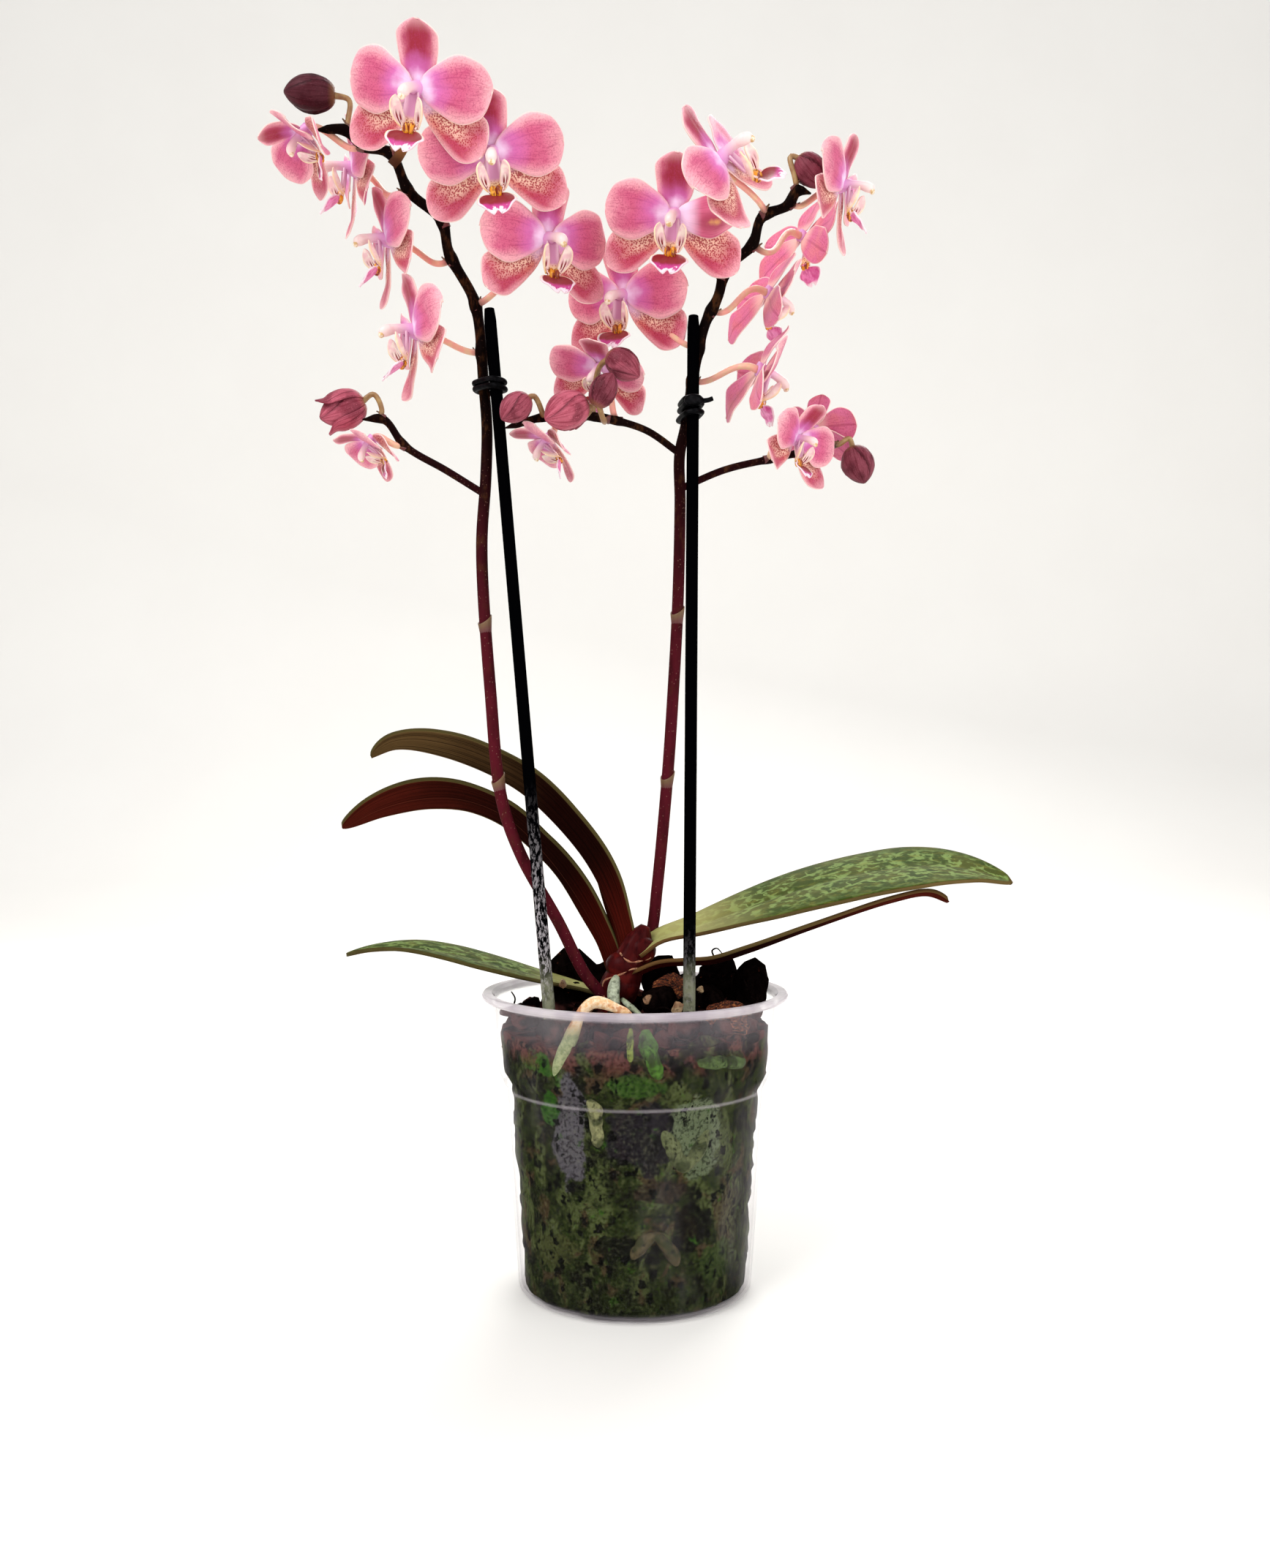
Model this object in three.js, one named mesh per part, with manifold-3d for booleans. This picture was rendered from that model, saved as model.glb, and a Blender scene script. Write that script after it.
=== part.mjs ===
// A potted moth orchid: two staked flower spikes with open blooms and buds, five leaves,
// and a clear pot of bark with roots behind its wall. Millimetres, +Z up, -Y is the front.
// The origin is the centre of the pot's base, on the surface that the pot stands on.
import * as THREE from 'three';
import { mergeVertices } from 'three/addons/utils/BufferGeometryUtils.js';
import Module from 'manifold-3d';

const wasm = await Module();
wasm.setup();

// Clearance that pieces keep where they touch, and the smallest step that merges vertices.
const GAP = 0.3;
const WELD = 1e-4;

// Pot: radii and heights of its outside, its wall and the clearance of what lies against it.
const POT_SIDES = 32;
const RIM_RADIUS = 57.5;
const RIM_TOP = 110.4;
const COLLAR_RADIUS = 53.6;
const COLLAR_BOTTOM = 81;
const COLLAR_BOTTOM_RADIUS = 52;
const BODY_TOP = 75;
const BODY_TOP_RADIUS = 48.8;
const BASE_RADIUS = 43.7;
const WALL = 0.9;
const FLOOR_TOP = 1.4;
const WALL_CLEARANCE = 0.45;
const DRAIN_COUNT = 4;
const DRAIN_RADIUS = 3;
const DRAIN_CIRCLE = 26;

// Bark: the height of the fill and the seed of its loose chunks.
const FILL_TOP = 100;
const MEDIUM_SIDES = 24;
const BARK_SEED = 7;

// Stakes and ties.
const STAKE_RADIUS = 2.25;
const STAKE_FOOT = 30;
const TIE_WIRE = 1;
const TIE_PITCH = 3.4;

// Spikes: stem radii from low to high, and those of their branches and sheath rings.
const STEM_LOW_RADIUS = 2.1;
const STEM_TOP_RADIUS = 1.5;
const BRANCH_RADIUS = 1.25;
const RING_RADIUS = 2.7;

// Blooms: the thickness of their blades, the radius of a pedicel, and the degrees by which the
// sepals of a shut bloom lean forward. Leaves: their thickness.
const PETAL_THICK = 0.8;
const LIP_THICK = 1;
const PEDICEL_RADIUS = 1.25;
const LEAN_SHUT = 75;
const LEAF_THICK = 1.4;

const COLOURS = {
  pot: { color: 0xe4dfe8, roughness: 0.18, metalness: 0, transparent: true, opacity: 0.35 },
  medium: { color: 0x33211a, roughness: 0.95, metalness: 0 },
  crown: { color: 0x5e2127, roughness: 0.5, metalness: 0 },
  leafGreen: { color: 0x5f8a4a, roughness: 0.45, metalness: 0 },
  leafDark: { color: 0x4a2a20, roughness: 0.45, metalness: 0 },
  root: { color: 0x8fa078, roughness: 0.7, metalness: 0 },
  dryRoot: { color: 0xd9b48c, roughness: 0.8, metalness: 0 },
  stake: { color: 0x0b0b0d, roughness: 0.5, metalness: 0 },
  spike: { color: 0x3a1a1e, roughness: 0.55, metalness: 0 },
  bloom: { color: 0xdd7fa2, roughness: 0.6, metalness: 0 },
  bud: { color: 0x7c2f48, roughness: 0.5, metalness: 0 },
};

const point = (x, y, z) => new THREE.Vector3(x, y, z);
const points = (rows) => rows.map(([x, y, z]) => point(x, y, z));
const towards = (a, b) => b.clone().sub(a).normalize();

// A seeded draw of numbers from 0 to 1, so that the bark is the same each time.
function draws(seed) {
  let state = seed;
  return () => {
    state = (state * 1664525 + 1013904223) % 4294967296;
    return state / 4294967296;
  };
}

// Six times the volume inside a set of triangles, negative where they face inwards.
function signedVolume(position, index) {
  let sum = 0;
  const corner = (i) => point(position[3 * i], position[3 * i + 1], position[3 * i + 2]);
  for (let i = 0; i < index.length; i += 3) {
    sum += corner(index[i]).dot(corner(index[i + 1]).cross(corner(index[i + 2])));
  }
  return sum;
}

// A geometry as a solid, with shared vertices merged, empty triangles dropped and faces out.
function solid(geometry) {
  const bare = new THREE.BufferGeometry();
  bare.setAttribute('position', geometry.getAttribute('position'));
  bare.setIndex(geometry.index);
  const merged = mergeVertices(bare, WELD);
  const position = merged.getAttribute('position').array;
  const all = merged.index.array;
  const kept = [];
  for (let i = 0; i < all.length; i += 3) {
    const [a, b, c] = [all[i], all[i + 1], all[i + 2]];
    if (a !== b && b !== c && c !== a) kept.push(a, b, c);
  }
  if (signedVolume(position, kept) < 0) kept.reverse();
  const triVerts = new Uint32Array(kept);
  return new wasm.Manifold(new wasm.Mesh({ numProp: 3, vertProperties: position, triVerts }));
}

// The union of some solids, without any loose scrap that lies apart from the largest body.
function join(solids) {
  const bodies = solids.reduce((whole, piece) => whole.add(piece)).decompose();
  return bodies.reduce((best, body) => (body.volume() > best.volume() ? body : best));
}

function mesh(name, shape, finish) {
  const made = shape.getMesh();
  const position = new Float32Array(made.numVert * 3);
  for (let i = 0; i < made.numVert; i++) {
    const start = i * made.numProp;
    position.set(made.vertProperties.subarray(start, start + 3), i * 3);
  }
  const geometry = new THREE.BufferGeometry();
  geometry.setAttribute('position', new THREE.BufferAttribute(position, 3));
  geometry.setIndex(new THREE.BufferAttribute(new Uint32Array(made.triVerts), 1));
  geometry.computeVertexNormals();
  const node = new THREE.Mesh(geometry, new THREE.MeshStandardMaterial(finish));
  node.name = name;
  return node;
}

// A closed body of revolution about Z, from a profile of [radius, height] that meets the axis.
function turned(profile, sides) {
  const outline = profile.map(([radius, height]) => new THREE.Vector2(radius, height));
  return solid(new THREE.LatheGeometry(outline, sides).rotateX(Math.PI / 2));
}

// Triangles between rings of equal length, with the first and last ring closed by a cap.
// swap names the sides of a ring whose diagonal runs the other way.
function skin(rings, cap, swap = () => false) {
  const count = rings[0].length;
  const position = rings.flat().flatMap((p) => [p.x, p.y, p.z]);
  const index = [];
  for (let i = 0; i + 1 < rings.length; i++) {
    for (let j = 0; j < count; j++) {
      const next = (j + 1) % count;
      const [a, b] = [i * count + j, i * count + next];
      const [c, d] = [a + count, b + count];
      if (swap(j)) index.push(a, b, c, b, d, c);
      else index.push(a, b, d, a, d, c);
    }
  }
  const last = (rings.length - 1) * count;
  for (const [a, b, c] of cap) index.push(c, b, a, a + last, b + last, c + last);
  const geometry = new THREE.BufferGeometry();
  geometry.setAttribute('position', new THREE.Float32BufferAttribute(position, 3));
  geometry.setIndex(index);
  return solid(geometry);
}

function fan(count) {
  const cap = [];
  for (let j = 1; j + 1 < count; j++) cap.push([0, j, j + 1]);
  return cap;
}

// A round bar along a smooth curve through the path. radius is a number, or a function of the
// share of its length.
function bar(path, radius, sides, steps) {
  const curve = new THREE.CatmullRomCurve3(path, false, 'centripetal');
  const frames = curve.computeFrenetFrames(steps, false);
  const rings = [];
  for (let i = 0; i <= steps; i++) {
    const share = i / steps;
    const centre = curve.getPointAt(share);
    const size = typeof radius === 'number' ? radius : radius(share);
    rings.push(Array.from({ length: sides }, (_, j) => {
      const turn = (2 * Math.PI * j) / sides;
      return centre.clone()
        .addScaledVector(frames.normals[i], size * Math.cos(turn))
        .addScaledVector(frames.binormals[i], size * Math.sin(turn));
    }));
  }
  return skin(rings, fan(sides));
}

// A blade through rows of points, each row across it and the last row its tip.
function blade(rows, thick) {
  const columns = rows[0].length;
  const rings = rows.map((row, i) => {
    const before = rows[Math.max(i - 1, 0)];
    const after = rows[Math.min(i + 1, rows.length - 1)];
    const across = rows[Math.min(i, rows.length - 2)];
    const normals = row.map((_, j) => {
      const along = after[j].clone().sub(before[j]);
      const side = across[Math.min(j + 1, columns - 1)].clone().sub(across[Math.max(j - 1, 0)]);
      return along.cross(side).normalize();
    });
    const middle = normals[Math.floor((columns - 1) / 2)];
    const isTip = i === rows.length - 1;
    const face = (way) => row.map((p, j) => (
      p.clone().addScaledVector(isTip ? middle : normals[j], (way * thick) / 2)));
    return [...face(1), ...face(-1).reverse()];
  });
  const cap = [];
  for (let j = 0; j + 1 < columns; j++) {
    const [a, b] = [2 * columns - 1 - j, 2 * columns - 2 - j];
    cap.push([j, j + 1, a], [j + 1, b, a]);
  }
  return skin(rings, cap, (j) => j >= columns - 1);
}

// Inner radius of the pot's wall at a height, least over a span of plus and minus reach.
function wallAt(height, reach = 0) {
  const stops = [
    [0, BASE_RADIUS - WALL],
    [BODY_TOP, BODY_TOP_RADIUS - WALL],
    [COLLAR_BOTTOM, COLLAR_BOTTOM_RADIUS - WALL],
    [RIM_TOP, COLLAR_RADIUS - WALL],
  ];
  const radiusAt = (z) => {
    const next = Math.min(Math.max(stops.findIndex(([stop]) => stop > z), 1), stops.length - 1);
    const [[z0, r0], [z1, r1]] = [stops[next - 1], stops[next]];
    return r0 + ((r1 - r0) * (z - z0)) / (z1 - z0);
  };
  return Math.min(radiusAt(Math.max(height - reach, 0)), radiusAt(height), radiusAt(height + reach));
}

function pot() {
  const lip = 1.1;
  const shell = turned([
    [0, 0],
    [BASE_RADIUS - 1.3, 0],
    [BASE_RADIUS, 1.5],
    [BODY_TOP_RADIUS, BODY_TOP],
    [COLLAR_BOTTOM_RADIUS, COLLAR_BOTTOM],
    [COLLAR_RADIUS, RIM_TOP - 3.2],
    [RIM_RADIUS - lip, RIM_TOP - 2.6],
    [RIM_RADIUS, RIM_TOP - 1.3],
    [RIM_RADIUS - lip, RIM_TOP],
    [COLLAR_RADIUS, RIM_TOP - 0.4],
    [COLLAR_RADIUS - WALL, RIM_TOP - 1.4],
    [COLLAR_BOTTOM_RADIUS - WALL, COLLAR_BOTTOM],
    [BODY_TOP_RADIUS - WALL, BODY_TOP],
    [BASE_RADIUS - WALL, FLOOR_TOP],
    [0, FLOOR_TOP],
  ], POT_SIDES);
  const drains = Array.from({ length: DRAIN_COUNT }, (_, i) => {
    const turn = (2 * Math.PI * i) / DRAIN_COUNT;
    const hole = new THREE.CylinderGeometry(DRAIN_RADIUS, DRAIN_RADIUS, 4 * FLOOR_TOP, 6);
    hole.rotateX(Math.PI / 2);
    hole.translate(DRAIN_CIRCLE * Math.cos(turn), DRAIN_CIRCLE * Math.sin(turn), 0);
    return solid(hole);
  });
  return drains.reduce((body, hole) => body.subtract(hole), shell);
}

// Roots against the pot's wall: [degrees from the front, height] with the root's radius.
const WALL_ROOTS = {
  root_thin: { radius: 1.2, path: [[-1.7, 104], [-2, 98], [-1.4, 90]] },
  root_broad: { radius: 3.4, path: [[4.4, 103], [5.5, 97], [8, 91], [11.5, 85]] },
  root_pale: { radius: 3.1, path: [[-18, 86], [-17.5, 77], [-17, 68], [-16, 58]] },
  root_fork: { radius: 3.2, path: [[10, 72], [16, 63], [23, 55], [31, 62], [37, 71]] },
  root_band: { radius: 2.8, path: [[18.5, 94], [31, 91.5], [45, 90], [60, 88]] },
  root_low: { radius: 2.5, path: [[-4, 18], [2, 27], [9, 31], [17, 25], [23, 16]] },
};

// The dried root that arches over the bark from the crown and runs down behind the wall.
const ARCH_RADIUS = 2.1;
const ARCH_TOP = [
  [-6.5, -11, 110], [-5, -22, 115.5], [-7, -33, 117], [-12, -42, 113.5], [-17.5, -45.5, 107],
];
const ARCH_FOOT = [[-24.5, 100], [-28, 92], [-33, 85]];

function wallPoints(path, radius) {
  return path.map(([degrees, z]) => {
    const turn = THREE.MathUtils.degToRad(degrees);
    const reach = wallAt(z, radius) - WALL_CLEARANCE - radius;
    return point(reach * Math.sin(turn), -reach * Math.cos(turn), z);
  });
}

function roots(grow) {
  const made = {};
  for (const [name, { radius, path }] of Object.entries(WALL_ROOTS)) {
    made[name] = bar(wallPoints(path, radius), radius + grow, 6, path.length + 1);
  }
  const arch = [...points(ARCH_TOP), ...wallPoints(ARCH_FOOT, ARCH_RADIUS)];
  made.root_arch = bar(arch, ARCH_RADIUS + grow, 6, 11);
  return made;
}

// Crown: [radius, height] of its overlapping sheaths, flattened front to back and leaning right.
const CROWN_PROFILE = [
  [0, 90], [4.5, 91], [6, 100], [7, 107], [7.4, 112.5], [6.2, 116.5],
  [7, 119.5], [6.2, 123.5], [4.6, 126], [4.4, 129], [2.2, 133.5], [0, 134.5],
];
const CROWN_FLATTEN = 0.85;
const CROWN_LEAN = 0.42;
const CROWN_LEAN_FROM = 105;
const CROWN_OFFSET = -8.5;

function crown(grow) {
  const profile = CROWN_PROFILE.map(([radius, z], i) => {
    const end = i === CROWN_PROFILE.length - 1;
    const rise = end ? grow : 0;
    return [radius === 0 ? 0 : radius + grow, i === 0 ? z - grow : z + rise];
  });
  const outline = profile.map(([radius, z]) => new THREE.Vector2(radius, z));
  const geometry = new THREE.LatheGeometry(outline, 12).rotateX(Math.PI / 2);
  const position = geometry.getAttribute('position');
  for (let i = 0; i < position.count; i++) {
    const lean = CROWN_LEAN * Math.max(position.getZ(i) - CROWN_LEAN_FROM, 0);
    position.setX(i, position.getX(i) + CROWN_OFFSET + lean);
    position.setY(i, position.getY(i) * CROWN_FLATTEN);
  }
  return solid(geometry);
}

// Stakes: the axis of each where it leaves the bark and at its top.
const STAKES = {
  left: { low: [-31.4, -20, 108.2], top: [-54, -10, 364] },
  right: { low: [19.6, -22, 108.5], top: [21.8, -7, 362.4] },
};

function stakeAt(side, z) {
  const low = point(...STAKES[side].low);
  const top = point(...STAKES[side].top);
  return low.lerp(top, (z - low.z) / (top.z - low.z));
}

function stake(side, grow) {
  const ends = [stakeAt(side, STAKE_FOOT - grow), point(...STAKES[side].top)];
  return bar(ends, STAKE_RADIUS + grow, 12, 1);
}

// Spikes: the main stem from the crown to its tip, its side branches, and the heights of the
// sheath rings.
const SPIKES = {
  left: {
    stem: [
      [-9, -3, 106], [-17.9, -5, 115.6], [-28.5, -9, 136.9], [-42, -12, 161.6],
      [-49.2, -11.5, 182.1], [-53.6, -10, 222.8], [-57, -8, 275.6], [-55.6, -7, 302],
      [-55.3, -6, 321.6], [-56.7, -5, 338.5], [-58.4, -4, 360], [-60.6, -5, 370], [-69, -9.6, 385],
      [-71.4, -12, 396], [-83, -15, 405.6], [-89, -19, 417.6], [-98.4, -22, 418.8],
      [-104, -25, 423.2], [-114, -27, 422.4],
    ],
    branches: [
      [[-56, -7, 296], [-70, -9, 304.4], [-85, -12, 312.9], [-92.2, -14, 321.9], [-100, -15, 321.8]],
    ],
    rings: [187.5, 246],
  },
  right: {
    stem: [
      [2, 6, 120], [6.2, 10.6, 130], [8.6, 9.6, 148.9], [12.4, 5, 191], [14.2, 3, 217.8],
      [16.2, 1, 256.1], [17, -1, 294.4], [16.8, -2, 311.8], [19.2, -2, 323.4], [22.4, -2.4, 344.1],
      [26.2, -4, 360.2], [31, -6, 370], [34, -8, 379.6], [43.4, -11, 387.6], [46.6, -14, 396.4],
      [56, -16, 400], [59.4, -17, 405], [64.2, -18, 403.4],
    ],
    branches: [
      [[16.6, -2, 312.6], [3.3, -6, 320.5], [-17.5, -14, 323.3], [-33.5, -18, 321.8],
        [-47.1, -20, 317.4]],
      [[17, -1, 299.3], [33.9, -1, 306.5], [53.7, 1, 311.5], [75.6, 3, 316.6]],
    ],
    rings: [189, 250.5],
  },
};

// Blooms: the junction, the way the face looks, the way its top sepal points, and the point
// where its pedicel leaves the stem. open is 1 on a flat bloom and less on one half open.
const BLOOMS = {
  bloom_l1: {
    spike: 'left', at: [-75.1, -46, 424.5], face: [-0.27, -0.85, -0.45], top: [0.22, 0, 1],
    leave: [-85.5, -23, 420.5], size: 1.02,
  },
  bloom_l2: {
    spike: 'left', at: [-50.2, -35, 407.6], face: [0.08, -0.87, -0.48], top: [-0.12, 0, 1],
    leave: [-66.5, -16, 397],
  },
  bloom_l3: {
    spike: 'left', at: [-32.2, -15, 385], face: [0.5, -0.8, -0.3], top: [-0.1, 0, 1],
    leave: [-55.4, -7, 368],
  },
  bloom_l4: {
    spike: 'left', at: [-116.8, -26, 421], face: [-0.5, -0.25, -0.82], top: [-0.8, -0.1, 0.55],
    leave: [-101.5, -22, 416], open: 0.4, size: 0.8,
  },
  bloom_l5: {
    spike: 'left', at: [-107.6, 6, 420.5], face: [-0.97, -0.15, -0.05], top: [-0.02, 0, 1],
    leave: [-88, -13, 404], bow: 0.3, size: 0.95,
  },
  bloom_l6: {
    spike: 'left', at: [-93.6, 1, 391.5], face: [-0.96, -0.2, -0.15], top: [-0.2, 0, 1],
    leave: [-72, -7, 381], size: 0.94,
  },
  bloom_l7: {
    spike: 'left', at: [-82, -6, 354.5], face: [-0.96, -0.22, -0.1], top: [0, 0.05, 1],
    leave: [-62.5, -3.5, 349.6],
  },
  bloom_l8: {
    spike: 'left', at: [-95.3, -16, 312.9], face: [-0.45, -0.2, -0.85], top: [-0.85, -0.2, 0.5],
    leave: [-88.5, -12.5, 311], open: 0.6, size: 0.64,
  },
  bloom_r1: {
    spike: 'right', at: [31.5, -44.5, 401.8], face: [0.66, -0.6, 0.36], top: [-0.72, -0.3, 0.6],
    leave: [45, -21, 400.5], bow: 0.1,
  },
  bloom_r2: {
    spike: 'right', at: [14.1, -20, 391.8], face: [-0.15, -0.88, -0.45], top: [0.1, 0, 1],
    leave: [30, -11, 378],
  },
  bloom_r3: {
    spike: 'right', at: [-4.2, 7.5, 372.1], face: [-0.45, -0.8, -0.3], top: [0.1, 0, 1],
    leave: [19.6, -0.6, 353],
  },
  bloom_r4: {
    spike: 'right', at: [76.2, -11, 406.9], face: [0.9, -0.36, -0.2], top: [0.2, 0, 0.98],
    leave: [59.5, -14, 399.6], size: 0.9,
  },
  bloom_r5: {
    spike: 'right', at: [66, 25, 402.8], face: [0.72, 0.55, -0.42], top: [0.1, 0.4, 0.88],
    leave: [46.5, -8.5, 386], bow: 0.3, size: 0.84,
  },
  bloom_r6: {
    spike: 'right', at: [51, 9, 374.6], face: [0.82, 0.38, -0.42], top: [0.3, 0.3, 0.9],
    leave: [32, -3, 364], size: 0.88,
  },
  bloom_r7: {
    spike: 'right', at: [46, -9, 339.6], face: [0.85, 0.25, -0.42], top: [0.2, 0.2, 0.9],
    leave: [25.2, 0, 339], size: 0.9,
  },
  bloom_r8: {
    spike: 'right', at: [59, -12, 313.4], face: [0.7, -0.65, -0.25], top: [0.2, 0, 0.95],
    leave: [50.6, -2.4, 312.4], open: 0.65, size: 0.72,
  },
  bloom_r9: {
    spike: 'right', at: [69.5, 13, 324], face: [0.45, 0.6, 0.3], top: [0.2, 0, 1],
    leave: [62.5, 4.4, 315.2], open: 0.65, size: 0.64,
  },
  bloom_r10: {
    spike: 'right', at: [-13, -6, 342], face: [-0.35, -0.55, -0.6], top: [0.1, -0.3, 0.75],
    leave: [-8, -7.6, 324.6], open: 0.75, size: 0.75,
  },
  bloom_r11: {
    spike: 'right', at: [-31, -8.6, 315.2], face: [-0.55, -0.1, -0.8], top: [-0.75, 0.1, 0.55],
    leave: [-29.6, -14.4, 321.4], open: 0.7, size: 0.68,
  },
};

// Buds: centre, the way the tip points, length and width, and the point where the pedicel
// leaves the stem. bend is a point that the pedicel passes.
const BUDS = {
  bud_l1: {
    spike: 'left', at: [-116.4, -28, 435.1], tip: [-1, -0.1, 0.02], size: [18, 14.5],
    leave: [-103, -25.4, 427.2], bend: [-102.6, -26, 433.6],
  },
  bud_l2: {
    spike: 'left', at: [-107.6, -15, 325.2], tip: [-0.9, -0.2, -0.4], size: [17, 13],
    leave: [-93, -14.4, 325.6], bend: [-96, -14.6, 331.2],
  },
  bud_r1: {
    spike: 'right', at: [64.6, -17, 412], tip: [0.6, -0.05, -0.75], size: [14, 12],
    leave: [58.4, -17.4, 409.6], bend: [56.9, -17, 417.4],
  },
  bud_r2: {
    spike: 'right', at: [85.1, 4, 309.4], tip: [0.3, -0.05, -0.95], size: [14.6, 13],
    leave: [77.8, 3, 317.2], bend: [81.4, 3.4, 319.4],
  },
  bud_r3: {
    spike: 'right', at: [-43, -27, 322.7], tip: [-0.7, -0.2, -0.65], size: [13, 11],
    leave: [-33.6, -20.8, 322.6], bend: [-36.4, -25, 327.6],
  },
  bud_r4: {
    spike: 'right', at: [-24.8, -27, 321.7], tip: [-0.8, -0.3, -0.4], size: [17, 14.6],
    leave: [-19.5, -17.3, 321], bend: [-16, -20.4, 324.4],
  },
  bud_r5: {
    spike: 'right', at: [-11, -29, 328.8], tip: [0.45, -0.1, 0.85], size: [13, 10.4],
    leave: [-11.2, -14.2, 321.6], bend: [-11.4, -22, 319.6],
  },
  bud_r6: {
    spike: 'right', at: [-4, -25, 338.6], tip: [0.75, -0.1, -0.6], size: [14, 11.4],
    leave: [-15.4, -11.4, 325.6], bend: [-13, -20, 339.4],
  },
};

function stemRadius(share) {
  return THREE.MathUtils.lerp(STEM_LOW_RADIUS, STEM_TOP_RADIUS, share);
}

// The point of a path's smooth curve that lies nearest to a given point.
function nearest(paths, target) {
  const spots = paths.flatMap((path) => (
    new THREE.CatmullRomCurve3(points(path), false, 'centripetal').getSpacedPoints(200)));
  return spots.reduce((best, spot) => (
    spot.distanceTo(target) < best.distanceTo(target) ? spot : best));
}

function stemFoot(spike, leave) {
  const { stem, branches } = SPIKES[spike];
  return nearest([stem, ...branches], point(...leave));
}

function cone(foot, tip, low, high, sides) {
  return bar([foot, tip], (share) => THREE.MathUtils.lerp(low, high, share), sides, 1);
}

function spike(side, grow) {
  const { stem, branches, rings } = SPIKES[side];
  const parts = [bar(points(stem), (share) => stemRadius(share) + grow, 5, 32)];
  for (const branch of branches) {
    parts.push(bar(points(branch), BRANCH_RADIUS + grow, 4, 2 * branch.length));
  }
  const curve = new THREE.CatmullRomCurve3(points(stem), false, 'centripetal').getSpacedPoints(400);
  for (const z of rings) {
    const at = curve.findIndex((spot) => spot.z > z);
    parts.push(cone(curve[at - 2], curve[at + 3], STEM_LOW_RADIUS - 0.1, RING_RADIUS + grow, 5));
  }
  return join(parts);
}

// A blade of a bloom. rows are [distance along it, half widths of its upper and lower side,
// and the forward place of its upper and lower edge]. degrees is its turn from the top, lean
// lifts its tip forward, and start is its foot.
function floral(rows, degrees, start, lean, mirror, thick) {
  const turn = THREE.MathUtils.degToRad(degrees);
  const tilt = THREE.MathUtils.degToRad(lean);
  const place = (along, side, forward) => {
    const reach = along * Math.cos(tilt) - forward * Math.sin(tilt);
    const x = start[0] + reach * Math.sin(turn) - side * Math.cos(turn);
    const y = start[1] + reach * Math.cos(turn) + side * Math.sin(turn);
    return point(mirror * x, y, start[2] + along * Math.sin(tilt) + forward * Math.cos(tilt));
  };
  const grid = rows.map(([along, upper, lower, upperAt, lowerAt]) => [
    place(along, upper, upperAt), place(along, -lower, lowerAt)]);
  return blade(grid, thick);
}

const DORSAL = [
  [1, 1.5, 1.5, -0.8, -0.8],
  [7.6, 6.4, 6.4, -0.8, -0.8],
  [15.6, 7.2, 7.2, 0.2, 0.2],
  [20.4, 0, 0, 1.8, 1.8],
];
const PETAL = [
  [0.4, 1.5, 1.5, 0.9, 0.9],
  [7, 7, 7, 0.9, 0.6],
  [14.5, 10.2, 10.2, -0.4, -0.4],
  [21, 8.4, 8.4, -1.8, -1.8],
  [24.6, 0, 0, -3, -3],
];
const LATERAL = [
  [-0.4, 1.5, 1.5, -0.8, -0.8],
  [9, 7.2, 6.2, -3, -0.6],
  [19.5, 8.2, 7.2, -4.6, -0.4],
  [27, 0, 0, 0.5, 0.5],
];
const PETAL_TURN = 87;
const LATERAL_TURN = 127;

// Lip, half of each row from its middle out: [sideways, height, forward]. The outer points of
// the second and third row are the raised side lobes, and the rest is the claw and mid lobe.
const LIP = [
  [[0, 0.4, 0.8], [0.7, 0.4, 0.8], [1.4, 0.4, 0.9]],
  [[0, -7.9, 3.2], [1.8, -7.4, 2.6], [5.4, -5.2, 2.8]],
  [[0, -9.4, 4.8], [2, -8.8, 4.6], [6.2, -1, 7]],
  [[0, -10.4, 6], [1.2, -10.3, 6], [2.4, -10, 6]],
  [[0, -13.2, 9.6], [3.4, -13.2, 10], [6.7, -12.8, 10.6]],
  [[0, -15.7, 13.4], [0, -15.7, 13.4], [0, -15.7, 13.4]],
];
// Column: [height, forward place, radius].
const COLUMN_SIDES = 5;
const COLUMN = [[2.3, -2, 3.3], [3.1, 2.6, 2.8], [2.1, 13, 1.7]];
const PEDICEL_START = point(0, 1.8, -1.4);

function lip(thick) {
  const grid = LIP.map((half) => [-1, 1].flatMap((way) => {
    const row = half.map(([x, y, z]) => point(way * x, y, z));
    return way < 0 ? row.reverse() : row.slice(1);
  }));
  return blade(grid, thick);
}

function column() {
  const rings = COLUMN.map(([y, z, radius]) => Array.from({ length: COLUMN_SIDES }, (_, j) => {
    const turn = (2 * Math.PI * (j + 0.75)) / COLUMN_SIDES;
    return point(radius * Math.cos(turn), y + radius * Math.sin(turn), z);
  }));
  return skin(rings, fan(COLUMN_SIDES));
}

// The turn and place of a bloom: its own X to the right, Y to the top sepal, Z out of its face.
function bloomFrame({ at, face, top }) {
  const forward = point(...face).normalize();
  const right = point(...top).cross(forward).normalize();
  const up = forward.clone().cross(right);
  return new THREE.Matrix4().makeBasis(right, up, forward).setPosition(...at);
}

// A pedicel from behind a bloom round to its foot on the stem. bow is how far it runs straight
// back first, as a share of its span.
function pedicel(start, back, bow, foot, leave) {
  const away = towards(foot, leave);
  const span = start.distanceTo(foot);
  const curve = new THREE.CubicBezierCurve3(
    start,
    start.clone().addScaledVector(back, bow * span),
    foot.clone().addScaledVector(away, 0.4 * span),
    foot,
  );
  return bar(curve.getPoints(8), PEDICEL_RADIUS, 4, 4);
}

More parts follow.
